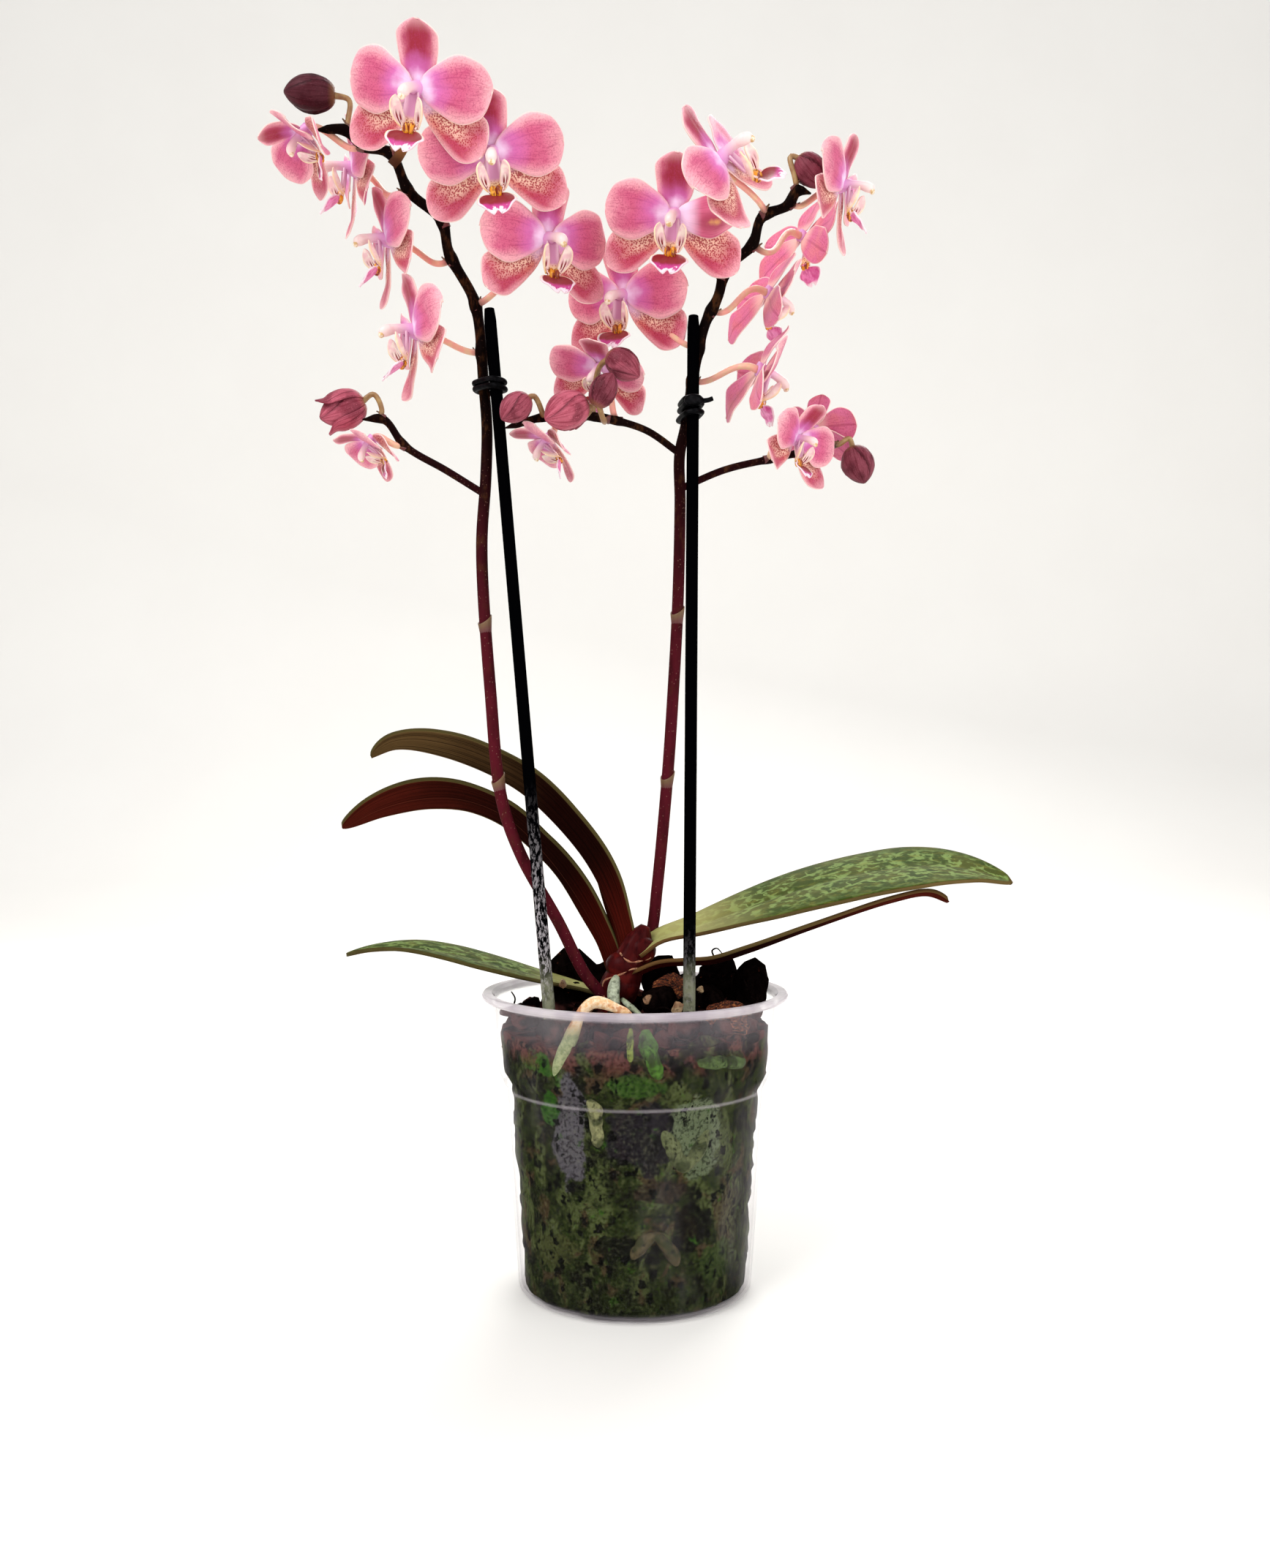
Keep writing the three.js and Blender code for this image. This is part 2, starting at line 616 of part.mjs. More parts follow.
function bloom(spec) {
  const { open = 1, size = 1, bow = 0.45 } = spec;
  const lean = LEAN_SHUT * (1 - open);
  const thick = PETAL_THICK / size;
  const flower = join([
    column(),
    floral(DORSAL, 0, [0, 3.2, 0], lean, 1, thick),
    floral(PETAL, PETAL_TURN, [0.8, 3.2, 0], lean * 0.8, 1, thick),
    floral(PETAL, PETAL_TURN, [0.8, 3.2, 0], lean * 0.8, -1, thick),
    floral(LATERAL, LATERAL_TURN, [2.2, 0.6, 0], lean * 0.6, 1, thick),
    floral(LATERAL, LATERAL_TURN, [2.2, 0.6, 0], lean * 0.6, -1, thick),
    lip(LIP_THICK / size),
  ]);
  const frame = bloomFrame(spec).scale(point(size, size, size));
  const placed = flower.transform(frame.elements);
  const start = PEDICEL_START.clone().applyMatrix4(frame);
  const back = point(...spec.face).normalize().negate();
  const foot = stemFoot(spec.spike, spec.leave);
  return placed.add(pedicel(start, back, bow, foot, point(...spec.leave)));
}

// Bud: [share of its length, share of its half width], with shallow ribs round it.
const BUD_PROFILE = [[0, 0.35], [0.14, 0.78], [0.45, 1], [0.76, 0.82], [1, 0.15]];
const BUD_SIDES = 8;
const BUD_RIB = 0.93;
const STALK_RADIUS = 1.05;

function bud({ spike: owner, at, tip, size, leave, bend }) {
  const along = point(...tip).normalize();
  const across = along.clone().cross(point(0.1, 1, 0.2)).normalize();
  const over = along.clone().cross(across);
  const base = point(...at).addScaledVector(along, -size[0] / 2);
  const rings = BUD_PROFILE.map(([share, width]) => Array.from({ length: BUD_SIDES }, (_, j) => {
    const turn = (2 * Math.PI * j) / BUD_SIDES;
    const radius = (size[1] / 2) * width * (j % 2 ? BUD_RIB : 1);
    return base.clone()
      .addScaledVector(along, share * size[0])
      .addScaledVector(across, radius * Math.cos(turn))
      .addScaledVector(over, radius * Math.sin(turn));
  }));
  const foot = stemFoot(owner, leave);
  const path = [base.clone().addScaledVector(along, 1), point(...bend), point(...leave), foot];
  const stalk = bar(path, STALK_RADIUS, 4, 5);
  return skin(rings, fan(BUD_SIDES)).add(stalk);
}

// Leaves: the midrib from the crown to the tip, the widest half width, and the rise of the
// near and far half in degrees at the crown and at the tip.
const LEAVES = {
  leaf_left_high: {
    rib: [[-2.5, 0, 121], [-6.5, 2, 136], [-17.8, 6, 159], [-38.5, 11, 181.5], [-52, 13, 190.5],
      [-74, 14, 199.2], [-92, 13, 202], [-102, 12, 198.6]],
    half: 19, near: [40, 44], far: [8, 6], finish: COLOURS.leafDark,
  },
  leaf_left_mid: {
    rib: [[-7, 4, 116], [-12, 8.5, 129], [-24.4, 17, 149], [-36.1, 23, 162.8], [-50.2, 27, 175.4],
      [-68.3, 31, 182.4], [-86.5, 34, 182.6], [-103.8, 36, 178], [-118.3, 38, 170.4]],
    half: 19, near: [24, 26], far: [-10, -20], finish: COLOURS.leafDark,
  },
  leaf_left_low: {
    rib: [[-9, 5, 107], [-22, 8, 110.5], [-37, 8, 114.3], [-53, 7, 118.6], [-70, 6, 122.6],
      [-87, 5, 125], [-101, 5, 124.6], [-110, 5, 122.8]],
    half: 17, near: [4, 4], far: [6, 6], finish: COLOURS.leafGreen,
  },
  leaf_right_high: {
    rib: [[1, -1, 124], [9, 0, 130], [24, 1, 134.4], [43, 2, 141], [66, 3, 148.4], [88, 4, 153.6],
      [111, 5, 156], [128, 5, 154.6], [143, 4, 150.2]],
    half: 23, near: [-10, -16], far: [20, 24], finish: COLOURS.leafGreen,
  },
  leaf_right_low: {
    rib: [[-1, -2, 116.5], [9, -2, 120.4], [19, -2, 121], [29, -1, 121.4], [43, 0, 125.4],
      [66, 1, 133.6], [97, 2, 143.6], [111, 3, 146], [118.7, 3, 143.4]],
    half: 16, near: [8, 8], far: [-4, -4], finish: COLOURS.leafDark,
  },
};
// Half width of a leaf by share of its length, as a share of its widest.
const LEAF_OUTLINE = [
  [0, 0.26], [0.1, 0.36], [0.24, 0.66], [0.4, 0.9], [0.56, 1], [0.7, 0.96], [0.82, 0.78],
  [0.92, 0.5], [1, 0],
];

function leaf({ rib, half, near, far }, grow) {
  const curve = new THREE.CatmullRomCurve3(points(rib), false, 'centripetal');
  const grid = LEAF_OUTLINE.map(([share, width]) => {
    const middle = curve.getPointAt(share);
    const along = curve.getTangentAt(share);
    const side = point(0, 1, 0).addScaledVector(along, -along.y).normalize();
    const over = side.clone().cross(along).normalize();
    if (over.z < 0) over.negate();
    const place = (way, rise, reach) => {
      const angle = THREE.MathUtils.degToRad(THREE.MathUtils.lerp(rise[0], rise[1], share));
      return middle.clone()
        .addScaledVector(side, way * reach * (half * width + grow) * Math.cos(angle))
        .addScaledVector(over, reach * (half * width + grow) * Math.sin(angle));
    };
    return [place(-1, near, 1), place(-1, near, 0.5), middle, place(1, far, 0.5), place(1, far, 1)];
  });
  return blade(grid, LEAF_THICK + 2 * grow);
}

// Bark chunks that stand out by size or place: [x, y, z], [length, depth, height], turn.
const BIG_CHUNKS = [
  { at: [35, 29, 108], size: [17, 13, 20], turn: 0.5 },
  { at: [43.5, 9, 108], size: [13, 12, 18], turn: 1.2 },
  { at: [18, -36, 104], size: [16, 9, 9], turn: 0.3 },
  { at: [33, -30, 103.5], size: [15, 9, 9], turn: -0.7 },
  { at: [10, -18, 104.5], size: [14, 9, 10], turn: 0.6 },
  { at: [29, -8, 105], size: [16, 10, 10], turn: 1.9 },
  { at: [-24, 12, 101.5], size: [15, 11, 8], turn: 0.9 },
  { at: [-25, 29, 112], size: [20, 12, 30], turn: -0.2 },
  { at: [12, 27, 107], size: [18, 10, 16], turn: 0.2 },
  { at: [-38, -16, 102], size: [11, 9, 6], turn: 0.8 },
];
const LOOSE_CHUNKS = 4;

function chunk(random, at, size, turn) {
  const box = new THREE.BoxGeometry(...size).deleteAttribute('normal').deleteAttribute('uv');
  const geometry = mergeVertices(box);
  const position = geometry.getAttribute('position');
  for (let i = 0; i < position.count; i++) {
    position.setX(i, position.getX(i) * (0.75 + 0.45 * random()));
    position.setY(i, position.getY(i) * (0.75 + 0.45 * random()));
    position.setZ(i, position.getZ(i) * (0.75 + 0.35 * random()));
  }
  geometry.rotateX(0.5 * (random() - 0.5));
  geometry.rotateZ(turn);
  geometry.translate(...at);
  return solid(geometry);
}

function medium(cutters) {
  const radiusAt = (z) => wallAt(z) - WALL_CLEARANCE;
  const floor = FLOOR_TOP + GAP;
  const fill = turned([
    [0, floor],
    [radiusAt(floor) - 1.2, floor],
    [radiusAt(floor + 2), floor + 2],
    [radiusAt(BODY_TOP) - 0.1, BODY_TOP + 0.2],
    [radiusAt(COLLAR_BOTTOM) - 0.1, COLLAR_BOTTOM + 0.2],
    [radiusAt(FILL_TOP - 1), FILL_TOP - 1],
    [44, FILL_TOP + 1],
    [30, FILL_TOP - 1.5],
    [15, FILL_TOP + 1.5],
    [0, FILL_TOP],
  ], MEDIUM_SIDES);
  const random = draws(BARK_SEED);
  const chunks = BIG_CHUNKS.map(({ at, size, turn }) => chunk(random, at, size, turn));
  for (let i = 0; i < LOOSE_CHUNKS; i++) {
    const turn = 2.4 * i;
    const reach = 40 * Math.sqrt((i + 0.7) / LOOSE_CHUNKS);
    const at = [reach * Math.cos(turn), reach * Math.sin(turn), FILL_TOP + 0.5];
    const size = [8 + 5 * random(), 6 + 3 * random(), 6 + 5 * random()];
    chunks.push(chunk(random, at, size, 6.28 * random()));
  }
  const inside = turned([
    [0, FILL_TOP - 10],
    [radiusAt(FILL_TOP) - 0.2, FILL_TOP - 10],
    [radiusAt(RIM_TOP), RIM_TOP + 22],
    [0, RIM_TOP + 22],
  ], MEDIUM_SIDES);
  const trimmed = chunks.map((piece) => piece.intersect(inside));
  const bark = cutters.reduce((body, cutter) => body.subtract(cutter), join([fill, ...trimmed]));
  return join([bark]);
}

// A tie: two loops of wire round a stake and its spike, one above the other.
function tie(side, height, pitch) {
  const { stem } = SPIKES[side];
  const curve = new THREE.CatmullRomCurve3(points(stem), false, 'centripetal').getSpacedPoints(600);
  const loops = [-1, 1].map((way) => {
    const z = height + (way * pitch) / 2;
    const stemSpot = curve.reduce((best, spot) => (
      Math.abs(spot.z - z) < Math.abs(best.z - z) ? spot : best));
    const stakeSpot = stakeAt(side, z);
    const axis = point(stemSpot.x - stakeSpot.x, stemSpot.y - stakeSpot.y, 0);
    const middle = stakeSpot.clone().addScaledVector(axis, 0.5).setZ(z);
    const long = axis.length() / 2 + STAKE_RADIUS + GAP + TIE_WIRE + 0.25;
    const wide = STAKE_RADIUS + GAP + TIE_WIRE + 0.45;
    const run = long - wide;
    axis.normalize();
    const square = point(-axis.y, axis.x, 0);
    const rings = Array.from({ length: 9 }, (_, i) => {
      const turn = (2 * Math.PI * ((i % 8) + 0.5)) / 8;
      const shift = Math.cos(turn) > 0 ? run : -run;
      const spot = middle.clone()
        .addScaledVector(axis, wide * Math.cos(turn) + shift)
        .addScaledVector(square, wide * Math.sin(turn));
      const out = axis.clone().multiplyScalar(Math.cos(turn)).addScaledVector(square, Math.sin(turn));
      return Array.from({ length: 4 }, (_unused, j) => {
        const angle = (2 * Math.PI * j) / 4;
        return spot.clone()
          .addScaledVector(out, TIE_WIRE * Math.cos(angle))
          .add(point(0, 0, TIE_WIRE * Math.sin(angle)));
      });
    });
    return { loop: skin(rings, []), front: middle.clone().addScaledVector(axis, -long), axis };
  });
  const [low, high] = loops;
  const knot = bar([low.front.clone(), high.front.clone()], 1.2 * TIE_WIRE, 4, 1);
  const tail = high.front.clone().addScaledVector(high.axis, -0.6).add(point(5, -0.6, 0.4));
  return join([low.loop, high.loop, knot, bar([high.front.clone(), tail], 0.8 * TIE_WIRE, 4, 1)]);
}

const group = new THREE.Group();
const rootSolids = roots(0);
const crownSolid = crown(0);
const crownRoom = crown(GAP);
const spikeRoom = { left: spike('left', GAP), right: spike('right', GAP) };
const offStem = (shape, spec) => join([shape.subtract(spikeRoom[spec.spike])]);

group.add(mesh('pot', pot(), COLOURS.pot));
const stemRoom = bar(points(SPIKES.left.stem.slice(0, 3)), STEM_LOW_RADIUS + GAP, 8, 4);
const leafRoom = leaf(LEAVES.leaf_left_low, GAP);
const rootRoom = Object.values(roots(GAP));
const cutters = [crownRoom, stake('left', GAP), stake('right', GAP), stemRoom, leafRoom, ...rootRoom];
group.add(mesh('medium', medium(cutters), COLOURS.medium));
group.add(mesh('crown', crownSolid, COLOURS.crown));
for (const [name, shape] of Object.entries(rootSolids)) {
  group.add(mesh(name, shape.subtract(crownRoom), name === 'root_arch' ? COLOURS.dryRoot : COLOURS.root));
}
for (const [name, spec] of Object.entries(LEAVES)) {
  group.add(mesh(name, leaf(spec, 0).subtract(crownRoom), spec.finish));
}
for (const side of ['left', 'right']) {
  group.add(mesh(`stake_${side}`, stake(side, 0), COLOURS.stake));
  group.add(mesh(`spike_${side}`, spike(side, 0).subtract(crownRoom), COLOURS.spike));
}
group.add(mesh('tie_left', tie('left', 334.6, TIE_PITCH), COLOURS.stake));
group.add(mesh('tie_right', tie('right', 326.4, TIE_PITCH), COLOURS.stake));
for (const [name, spec] of Object.entries(BLOOMS)) {
  group.add(mesh(name, offStem(bloom(spec), spec), COLOURS.bloom));
}
for (const [name, spec] of Object.entries(BUDS)) {
  group.add(mesh(name, offStem(bud(spec), spec), COLOURS.bud));
}

export default group;
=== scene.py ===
"""A potted moth orchid, dressed around its CAD frame: blooms, buds, leaves, roots, bark and a clear pot.

Places and sizes in the tables are in millimetres, in the frame's axes, and mm() turns them to metres.
"""

import math
import random

import bpy
from mathutils import Matrix, Vector, noise


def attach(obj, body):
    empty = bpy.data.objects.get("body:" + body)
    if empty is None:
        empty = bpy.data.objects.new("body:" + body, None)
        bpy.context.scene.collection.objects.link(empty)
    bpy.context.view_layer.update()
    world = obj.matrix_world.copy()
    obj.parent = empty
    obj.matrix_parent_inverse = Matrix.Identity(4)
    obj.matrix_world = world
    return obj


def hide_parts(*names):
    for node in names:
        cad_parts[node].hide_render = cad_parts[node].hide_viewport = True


bl_info = {
    "name": "Potted moth orchid",
    "version": (1, 0, 0),
    "blender": (4, 5, 0),
    "location": "3D View > Sidebar > Orchid",
    "description": "Dresses the frame of a potted moth orchid, one operator for each group of pieces",
    "category": "Object",
}

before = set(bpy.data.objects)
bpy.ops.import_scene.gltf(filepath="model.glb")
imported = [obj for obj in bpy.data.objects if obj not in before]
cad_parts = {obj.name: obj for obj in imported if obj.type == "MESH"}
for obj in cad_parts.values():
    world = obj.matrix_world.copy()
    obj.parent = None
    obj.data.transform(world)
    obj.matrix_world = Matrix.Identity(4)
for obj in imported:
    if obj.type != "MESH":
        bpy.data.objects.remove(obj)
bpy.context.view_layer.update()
MM = 0.001


def mm(x, y, z):
    return Vector((x, y, z)) * MM


def dimmed(tint, share):
    """A linear colour with less light."""
    return tuple(c * share for c in tint)


def colour(red, green, blue):
    """A display colour from 0 to 255 as Blender's linear one."""
    return tuple(
        (c / 255 / 12.92) if c <= 10 else ((c / 255 + 0.055) / 1.055) ** 2.4 for c in (red, green, blue)
    )


# Places that the frame was built from. A stake's crust_top is in metres, and its foot is in the bark.
STAKES = {
    "left": {"low": (-31.4, -20, 108.2), "top": (-54, -10, 364), "crust_top": 0.19},
    "right": {"low": (19.6, -22, 108.5), "top": (21.8, -7, 362.4), "crust_top": 0.14},
}
STAKE_FOOT = 30
# Flower stems: the middle lines of each stem and its branches, the heights of its sheaths, and cut stubs.
SPIKES = {
    "left": {
        "stem": [
            (-9, -3, 106), (-17.9, -5, 115.6), (-28.5, -9, 136.9), (-42, -12, 161.6),
            (-49.2, -11.5, 182.1), (-53.6, -10, 222.8), (-57, -8, 275.6), (-55.6, -7, 302),
            (-55.3, -6, 321.6), (-56.7, -5, 338.5), (-58.4, -4, 360), (-60.6, -5, 370), (-69, -9.6, 385),
            (-71.4, -12, 396), (-83, -15, 405.6), (-89, -19, 417.6), (-98.4, -22, 418.8),
            (-104, -25, 423.2), (-114, -27, 422.4),
        ],
        "branches": [
            [(-56, -7, 296), (-70, -9, 304.4), (-85, -12, 312.9), (-92.2, -14, 321.9), (-100, -15, 321.8)],
        ],
        "rings": [187.5, 246],
        "stubs": [
            [(-88.6, -18.6, 413.4), (-86.8, -19.2, 415.4), (-85.2, -19.8, 417.6), (-83.9, -20.3, 419.6)],
        ],
    },
    "right": {
        "stem": [
            (2, 6, 120), (6.2, 10.6, 130), (8.6, 9.6, 148.9), (12.4, 5, 191), (14.2, 3, 217.8),
            (16.2, 1, 256.1), (17, -1, 294.4), (16.8, -2, 311.8), (19.2, -2, 323.4), (22.4, -2.4, 344.1),
            (26.2, -4, 360.2), (31, -6, 370), (34, -8, 379.6), (43.4, -11, 387.6), (46.6, -14, 396.4),
            (56, -16, 400), (59.4, -17, 405), (64.2, -18, 403.4),
        ],
        "branches": [
            [(16.6, -2, 312.6), (3.3, -6, 320.5), (-17.5, -14, 323.3), (-33.5, -18, 321.8),
             (-47.1, -20, 317.4)],
            [(17, -1, 299.3), (33.9, -1, 306.5), (53.7, 1, 311.5), (75.6, 3, 316.6)],
        ],
        "rings": [189, 250.5],
    },
}
BRACT_THICKNESS = 0.5
SHEATH_THICKNESS = 0.4
# Blooms: the middle, the way it faces and its top points, a place that its stalk passes close to the stem,
# how far the stalk bows, how far it is open, its size and the side of its odd petal.
BLOOMS = {
    "bloom_l1": {
        "spike": "left", "at": (-75.1, -46, 424.5), "face": (-0.27, -0.85, -0.45), "top": (0.22, 0, 1),
        "leave": (-85.5, -23, 420.5), "size": 1.02,
    },
    "bloom_l2": {
        "spike": "left", "at": (-50.2, -35, 407.6), "face": (0.08, -0.87, -0.48), "top": (-0.12, 0, 1),
        "leave": (-66.5, -16, 397),
    },
    "bloom_l3": {
        "spike": "left", "at": (-32.2, -15, 385), "face": (0.5, -0.8, -0.3), "top": (-0.1, 0, 1),
        "leave": (-55.4, -7, 368),
    },
    "bloom_l4": {
        "spike": "left", "at": (-116.8, -26, 421), "face": (-0.5, -0.25, -0.82), "top": (-0.8, -0.1, 0.55),
        "leave": (-101.5, -22, 416), "open": 0.4, "size": 0.8,
    },
    "bloom_l5": {
        "spike": "left", "at": (-107.6, 6, 420.5), "face": (-0.92, -0.35, -0.07), "top": (-0.02, 0, 1),
        "leave": (-88, -13, 404), "bow": 0.3, "size": 0.95,
    },
    "bloom_l6": {
        "spike": "left", "at": (-93.6, 1, 391.5), "face": (-0.89, -0.4, -0.16), "top": (-0.2, 0, 1),
        "leave": (-72, -7, 381), "size": 0.94,
    },
    "bloom_l7": {
        "spike": "left", "at": (-82, -6, 354.5), "face": (-0.89, -0.41, -0.11), "top": (0, 0.05, 1),
        "leave": (-62.5, -3.5, 349.6),
    },
    "bloom_l8": {
        "spike": "left", "at": (-95.3, -16, 312.9), "face": (-0.45, -0.2, -0.85), "top": (-0.85, -0.2, 0.5),
        "leave": (-88.5, -12.5, 311), "open": 0.6, "size": 0.64,
    },
    "bloom_r1": {
        "spike": "right", "at": (31.5, -44.5, 401.8), "face": (0.66, -0.6, 0.36), "top": (-0.72, -0.3, 0.6),
        "leave": (45, -21, 400.5), "bow": 0.1,
    },
    "bloom_r2": {
        "spike": "right", "at": (14.1, -20, 391.8), "face": (-0.15, -0.88, -0.45), "top": (0.1, 0, 1),
        "leave": (30, -11, 378), "odd_way": 1,
    },
    "bloom_r3": {
        "spike": "right", "at": (-4.2, 7.5, 372.1), "face": (-0.45, -0.8, -0.3), "top": (0.1, 0, 1),
        "leave": (19.6, -0.6, 353),
    },
    "bloom_r4": {
        "spike": "right", "at": (76.2, -11, 406.9), "face": (0.9, -0.36, -0.2), "top": (0.2, 0, 0.98),
        "leave": (59.5, -14, 399.6), "size": 0.9,
    },
    "bloom_r5": {
        "spike": "right", "at": (66, 25, 402.8), "face": (0.77, 0.51, -0.37), "top": (0.2, 0.15, 0.95),
        "leave": (46.5, -8.5, 386), "bow": 0.3, "size": 0.84,
    },
    "bloom_r6": {
        "spike": "right", "at": (51, 9, 374.6), "face": (0.82, 0.38, -0.42), "top": (0.36, 0.05, 0.92),
        "leave": (32, -3, 364), "size": 0.88,
    },
    "bloom_r7": {
        "spike": "right", "at": (46, -9, 339.6), "face": (0.85, 0.25, -0.42), "top": (0.28, -0.04, 0.94),
        "leave": (25.2, 0, 339), "size": 0.9,
    },
    "bloom_r8": {
        "spike": "right", "at": (59, -12, 313.4), "face": (0.7, -0.65, -0.25), "top": (0.2, 0, 0.95),
        "leave": (50.6, -2.4, 312.4), "open": 0.65, "size": 0.72,
    },
    "bloom_r9": {
        "spike": "right", "at": (69.5, 13, 324), "face": (0.45, 0.6, 0.3), "top": (0.2, 0, 1),
        "leave": (62.5, 4.4, 315.2), "open": 0.65, "size": 0.64,
    },
    "bloom_r10": {
        "spike": "right", "at": (-13, -6, 342), "face": (-0.35, -0.55, -0.6), "top": (0.1, -0.3, 0.75),
        "leave": (-8, -7.6, 324.6), "open": 0.75, "size": 0.75,
    },
    "bloom_r11": {
        "spike": "right", "at": (-31, -8.6, 315.2), "face": (-0.55, -0.1, -0.8), "top": (-0.75, 0.1, 0.55),
        "leave": (-29.6, -14.4, 321.4), "open": 0.7, "size": 0.68,
    },
}
# Buds: the middle, the way its tip points, (length, width), the stalk's place close to the stem and its
# bend, its colour, partly its own and partly painted light and shade, and loose sepals as (turn, gape).
BUDS = {
    "bud_l1": {
        "spike": "left", "at": (-116.4, -28, 435.1), "tip": (-1, -0.1, 0.02), "size": (18, 13.8),
        "leave": (-103, -25.4, 427.2), "bend": (-102.6, -26, 433.6), "tone": "dark",
    },
    "bud_l2": {
        "spike": "left", "at": (-107.6, -15, 325.2), "tip": (-0.9, -0.2, -0.4), "size": (17, 13),
        "leave": (-93, -14.4, 325.6), "bend": (-96, -14.6, 331.2), "tone": "light",
        "flaps": ((0.1, 1.6), (2.9, 1.2)),
    },
    "bud_r1": {
        "spike": "right", "at": (64.6, -17, 412), "tip": (0.6, -0.05, -0.75), "size": (14, 12),
        "leave": (58.4, -17.4, 409.6), "bend": (56.9, -17, 417.4),
    },
    "bud_r2": {
        "spike": "right", "at": (85.1, 4, 309.4), "tip": (0.3, -0.05, -0.95), "size": (14.6, 13),
        "leave": (77.8, 3, 317.2), "bend": (81.4, 3.4, 319.4),
    },
    "bud_r3": {
        "spike": "right", "at": (-43, -27, 322.7), "tip": (-0.7, -0.2, -0.65), "size": (13, 11),
        "leave": (-33.6, -20.8, 322.6), "bend": (-36.4, -25, 327.6), "tone": "rosy",
    },
    "bud_r4": {
        "spike": "right", "at": (-24.8, -27, 321.7), "tip": (-0.8, -0.3, -0.4), "size": (17, 14.6),
        "leave": (-19.5, -17.3, 321), "bend": (-16, -20.4, 324.4), "tone": "light",
    },
    "bud_r5": {
        "spike": "right", "at": (-11, -29, 328.8), "tip": (0.45, -0.1, 0.85), "size": (13, 10.4),
        "leave": (-11.2, -14.2, 321.6), "bend": (-11.4, -22, 319.6),
    },
    "bud_r6": {
        "spike": "right", "at": (-4, -25, 338.6), "tip": (0.75, -0.1, -0.6), "size": (14, 11.4),
        "leave": (-15.4, -11.4, 325.6), "bend": (-13, -20, 339.4), "tone": "rosy",
    },
}
# Leaves: the midrib from the crown, the half width, and the tilt in degrees of the near and the far half at
# the foot and at the tip. A fold is the tilt of both halves where they clasp the crown.
LEAVES = {
    "leaf_left_high": {
        "rib": [(-2.5, 0, 121), (-6.5, 2, 136), (-17.8, 6, 159), (-38.5, 11, 181.5), (-52, 13, 190.5),
                (-74, 14, 199.2), (-92, 13, 202), (-102, 12, 198.6)],
        "half": 19, "near": (40, 44), "far": (8, 6), "fold": (70, -48), "finish": "dark",
    },
    "leaf_left_mid": {
        "rib": [(-7, 4, 116), (-12, 8.5, 129), (-24.4, 17, 149), (-36.1, 23, 162.8), (-50.2, 27, 175.4),
                (-68.3, 31, 182.4), (-86.5, 34, 182.6), (-103.8, 36, 178), (-118.3, 38, 170.4)],
        "half": 19, "near": (24, 26), "far": (-10, -20), "fold": (60, -40), "finish": "dark",
        "red": True,
    },
    "leaf_left_low": {
        "rib": [(-9, 5, 107), (-22, 8, 110.5), (-37, 8, 114.3), (-53, 7, 118.6), (-70, 6, 122.6),
                (-87, 5, 125), (-101, 5, 124.6), (-110, 5, 122.8)],
        "half": 17, "near": (4, 4), "far": (6, 6), "finish": "green",
    },
    "leaf_right_high": {
        "rib": [(1, -1, 124), (9, 0, 130), (24, 1, 134.4), (43, 2, 141), (66, 3, 148.4), (88, 4, 153.6),
                (111, 5, 156), (128, 5, 154.6), (143, 4, 150.2)],
        "half": 23, "near": (-10, -16), "far": (20, 24), "finish": "green",
    },
    "leaf_right_low": {
        "rib": [(-1, -2, 116.5), (9, -2, 120.4), (19, -2, 121), (29, -1, 121.4), (43, 0, 125.4),
                (66, 1, 133.6), (97, 2, 143.6), (111, 3, 146), (118.7, 3, 143.4)],
        "half": 16, "near": (17, 15), "far": (-4, -4), "finish": "dark",
        "red": True,
    },
}
# Half width of a leaf along it: (share of the length, share of the half width).
LEAF_OUTLINE = [
    (0, 0.26), (0.1, 0.36), (0.24, 0.66), (0.4, 0.9), (0.56, 1), (0.7, 0.96), (0.82, 0.78),
    (0.92, 0.5), (1, 0),
]
# Roots behind the wall: their radius, their colour and a path of (degrees from the front, height).
WALL_ROOTS = {
    "root_thin": (1.2, (128, 142, 62), [(-1.7, 104), (-2, 98), (-1.4, 90)]),
    "root_broad": (3.4, (72, 112, 34), [(4.4, 103), (5.5, 97), (8, 91), (11.5, 85)]),
    "root_pale": (3.1, (132, 132, 90), [(-18, 86), (-17.5, 77), (-17, 68), (-16, 58)]),
    "root_fork": (3.2, (98, 104, 68), [(10, 72), (16, 63), (23, 55), (31, 62), (37, 71)]),
    "root_band": (2.8, (82, 102, 54), [(18.5, 94), (31, 91.5), (45, 90), (60, 88)]),
    "root_low": (2.5, (82, 72, 48), [(-4, 18), (2, 27), (9, 31), (17, 25), (23, 16)]),
}
ROOT_SWELLING = [(0, 0.45), (0.14, 0.8), (0.3, 1.05), (0.5, 0.88), (0.72, 1.02), (0.9, 0.75), (1, 0.4)]
ROOT_DIVE = 2.6
# The dried root: points over the bark, then (degrees, height) behind the wall.
ARCH_TOP = [
    (-1, -38, 105.5), (-3, -42.5, 108.6), (-8, -44.4, 111), (-13.4, -44.8, 112.6), (-18, -44.4, 109.6),
]
ARCH_FOOT = [(-26, 102), (-29.5, 96), (-33, 90), (-35, 84.5)]
ARCH_RADII = [(0, 0.8), (0.15, 1.5), (0.35, 2.1), (0.5, 1.8), (0.62, 2.4), (0.85, 2.6), (1, 1.6)]
ARCH_DEPTH = 2.9

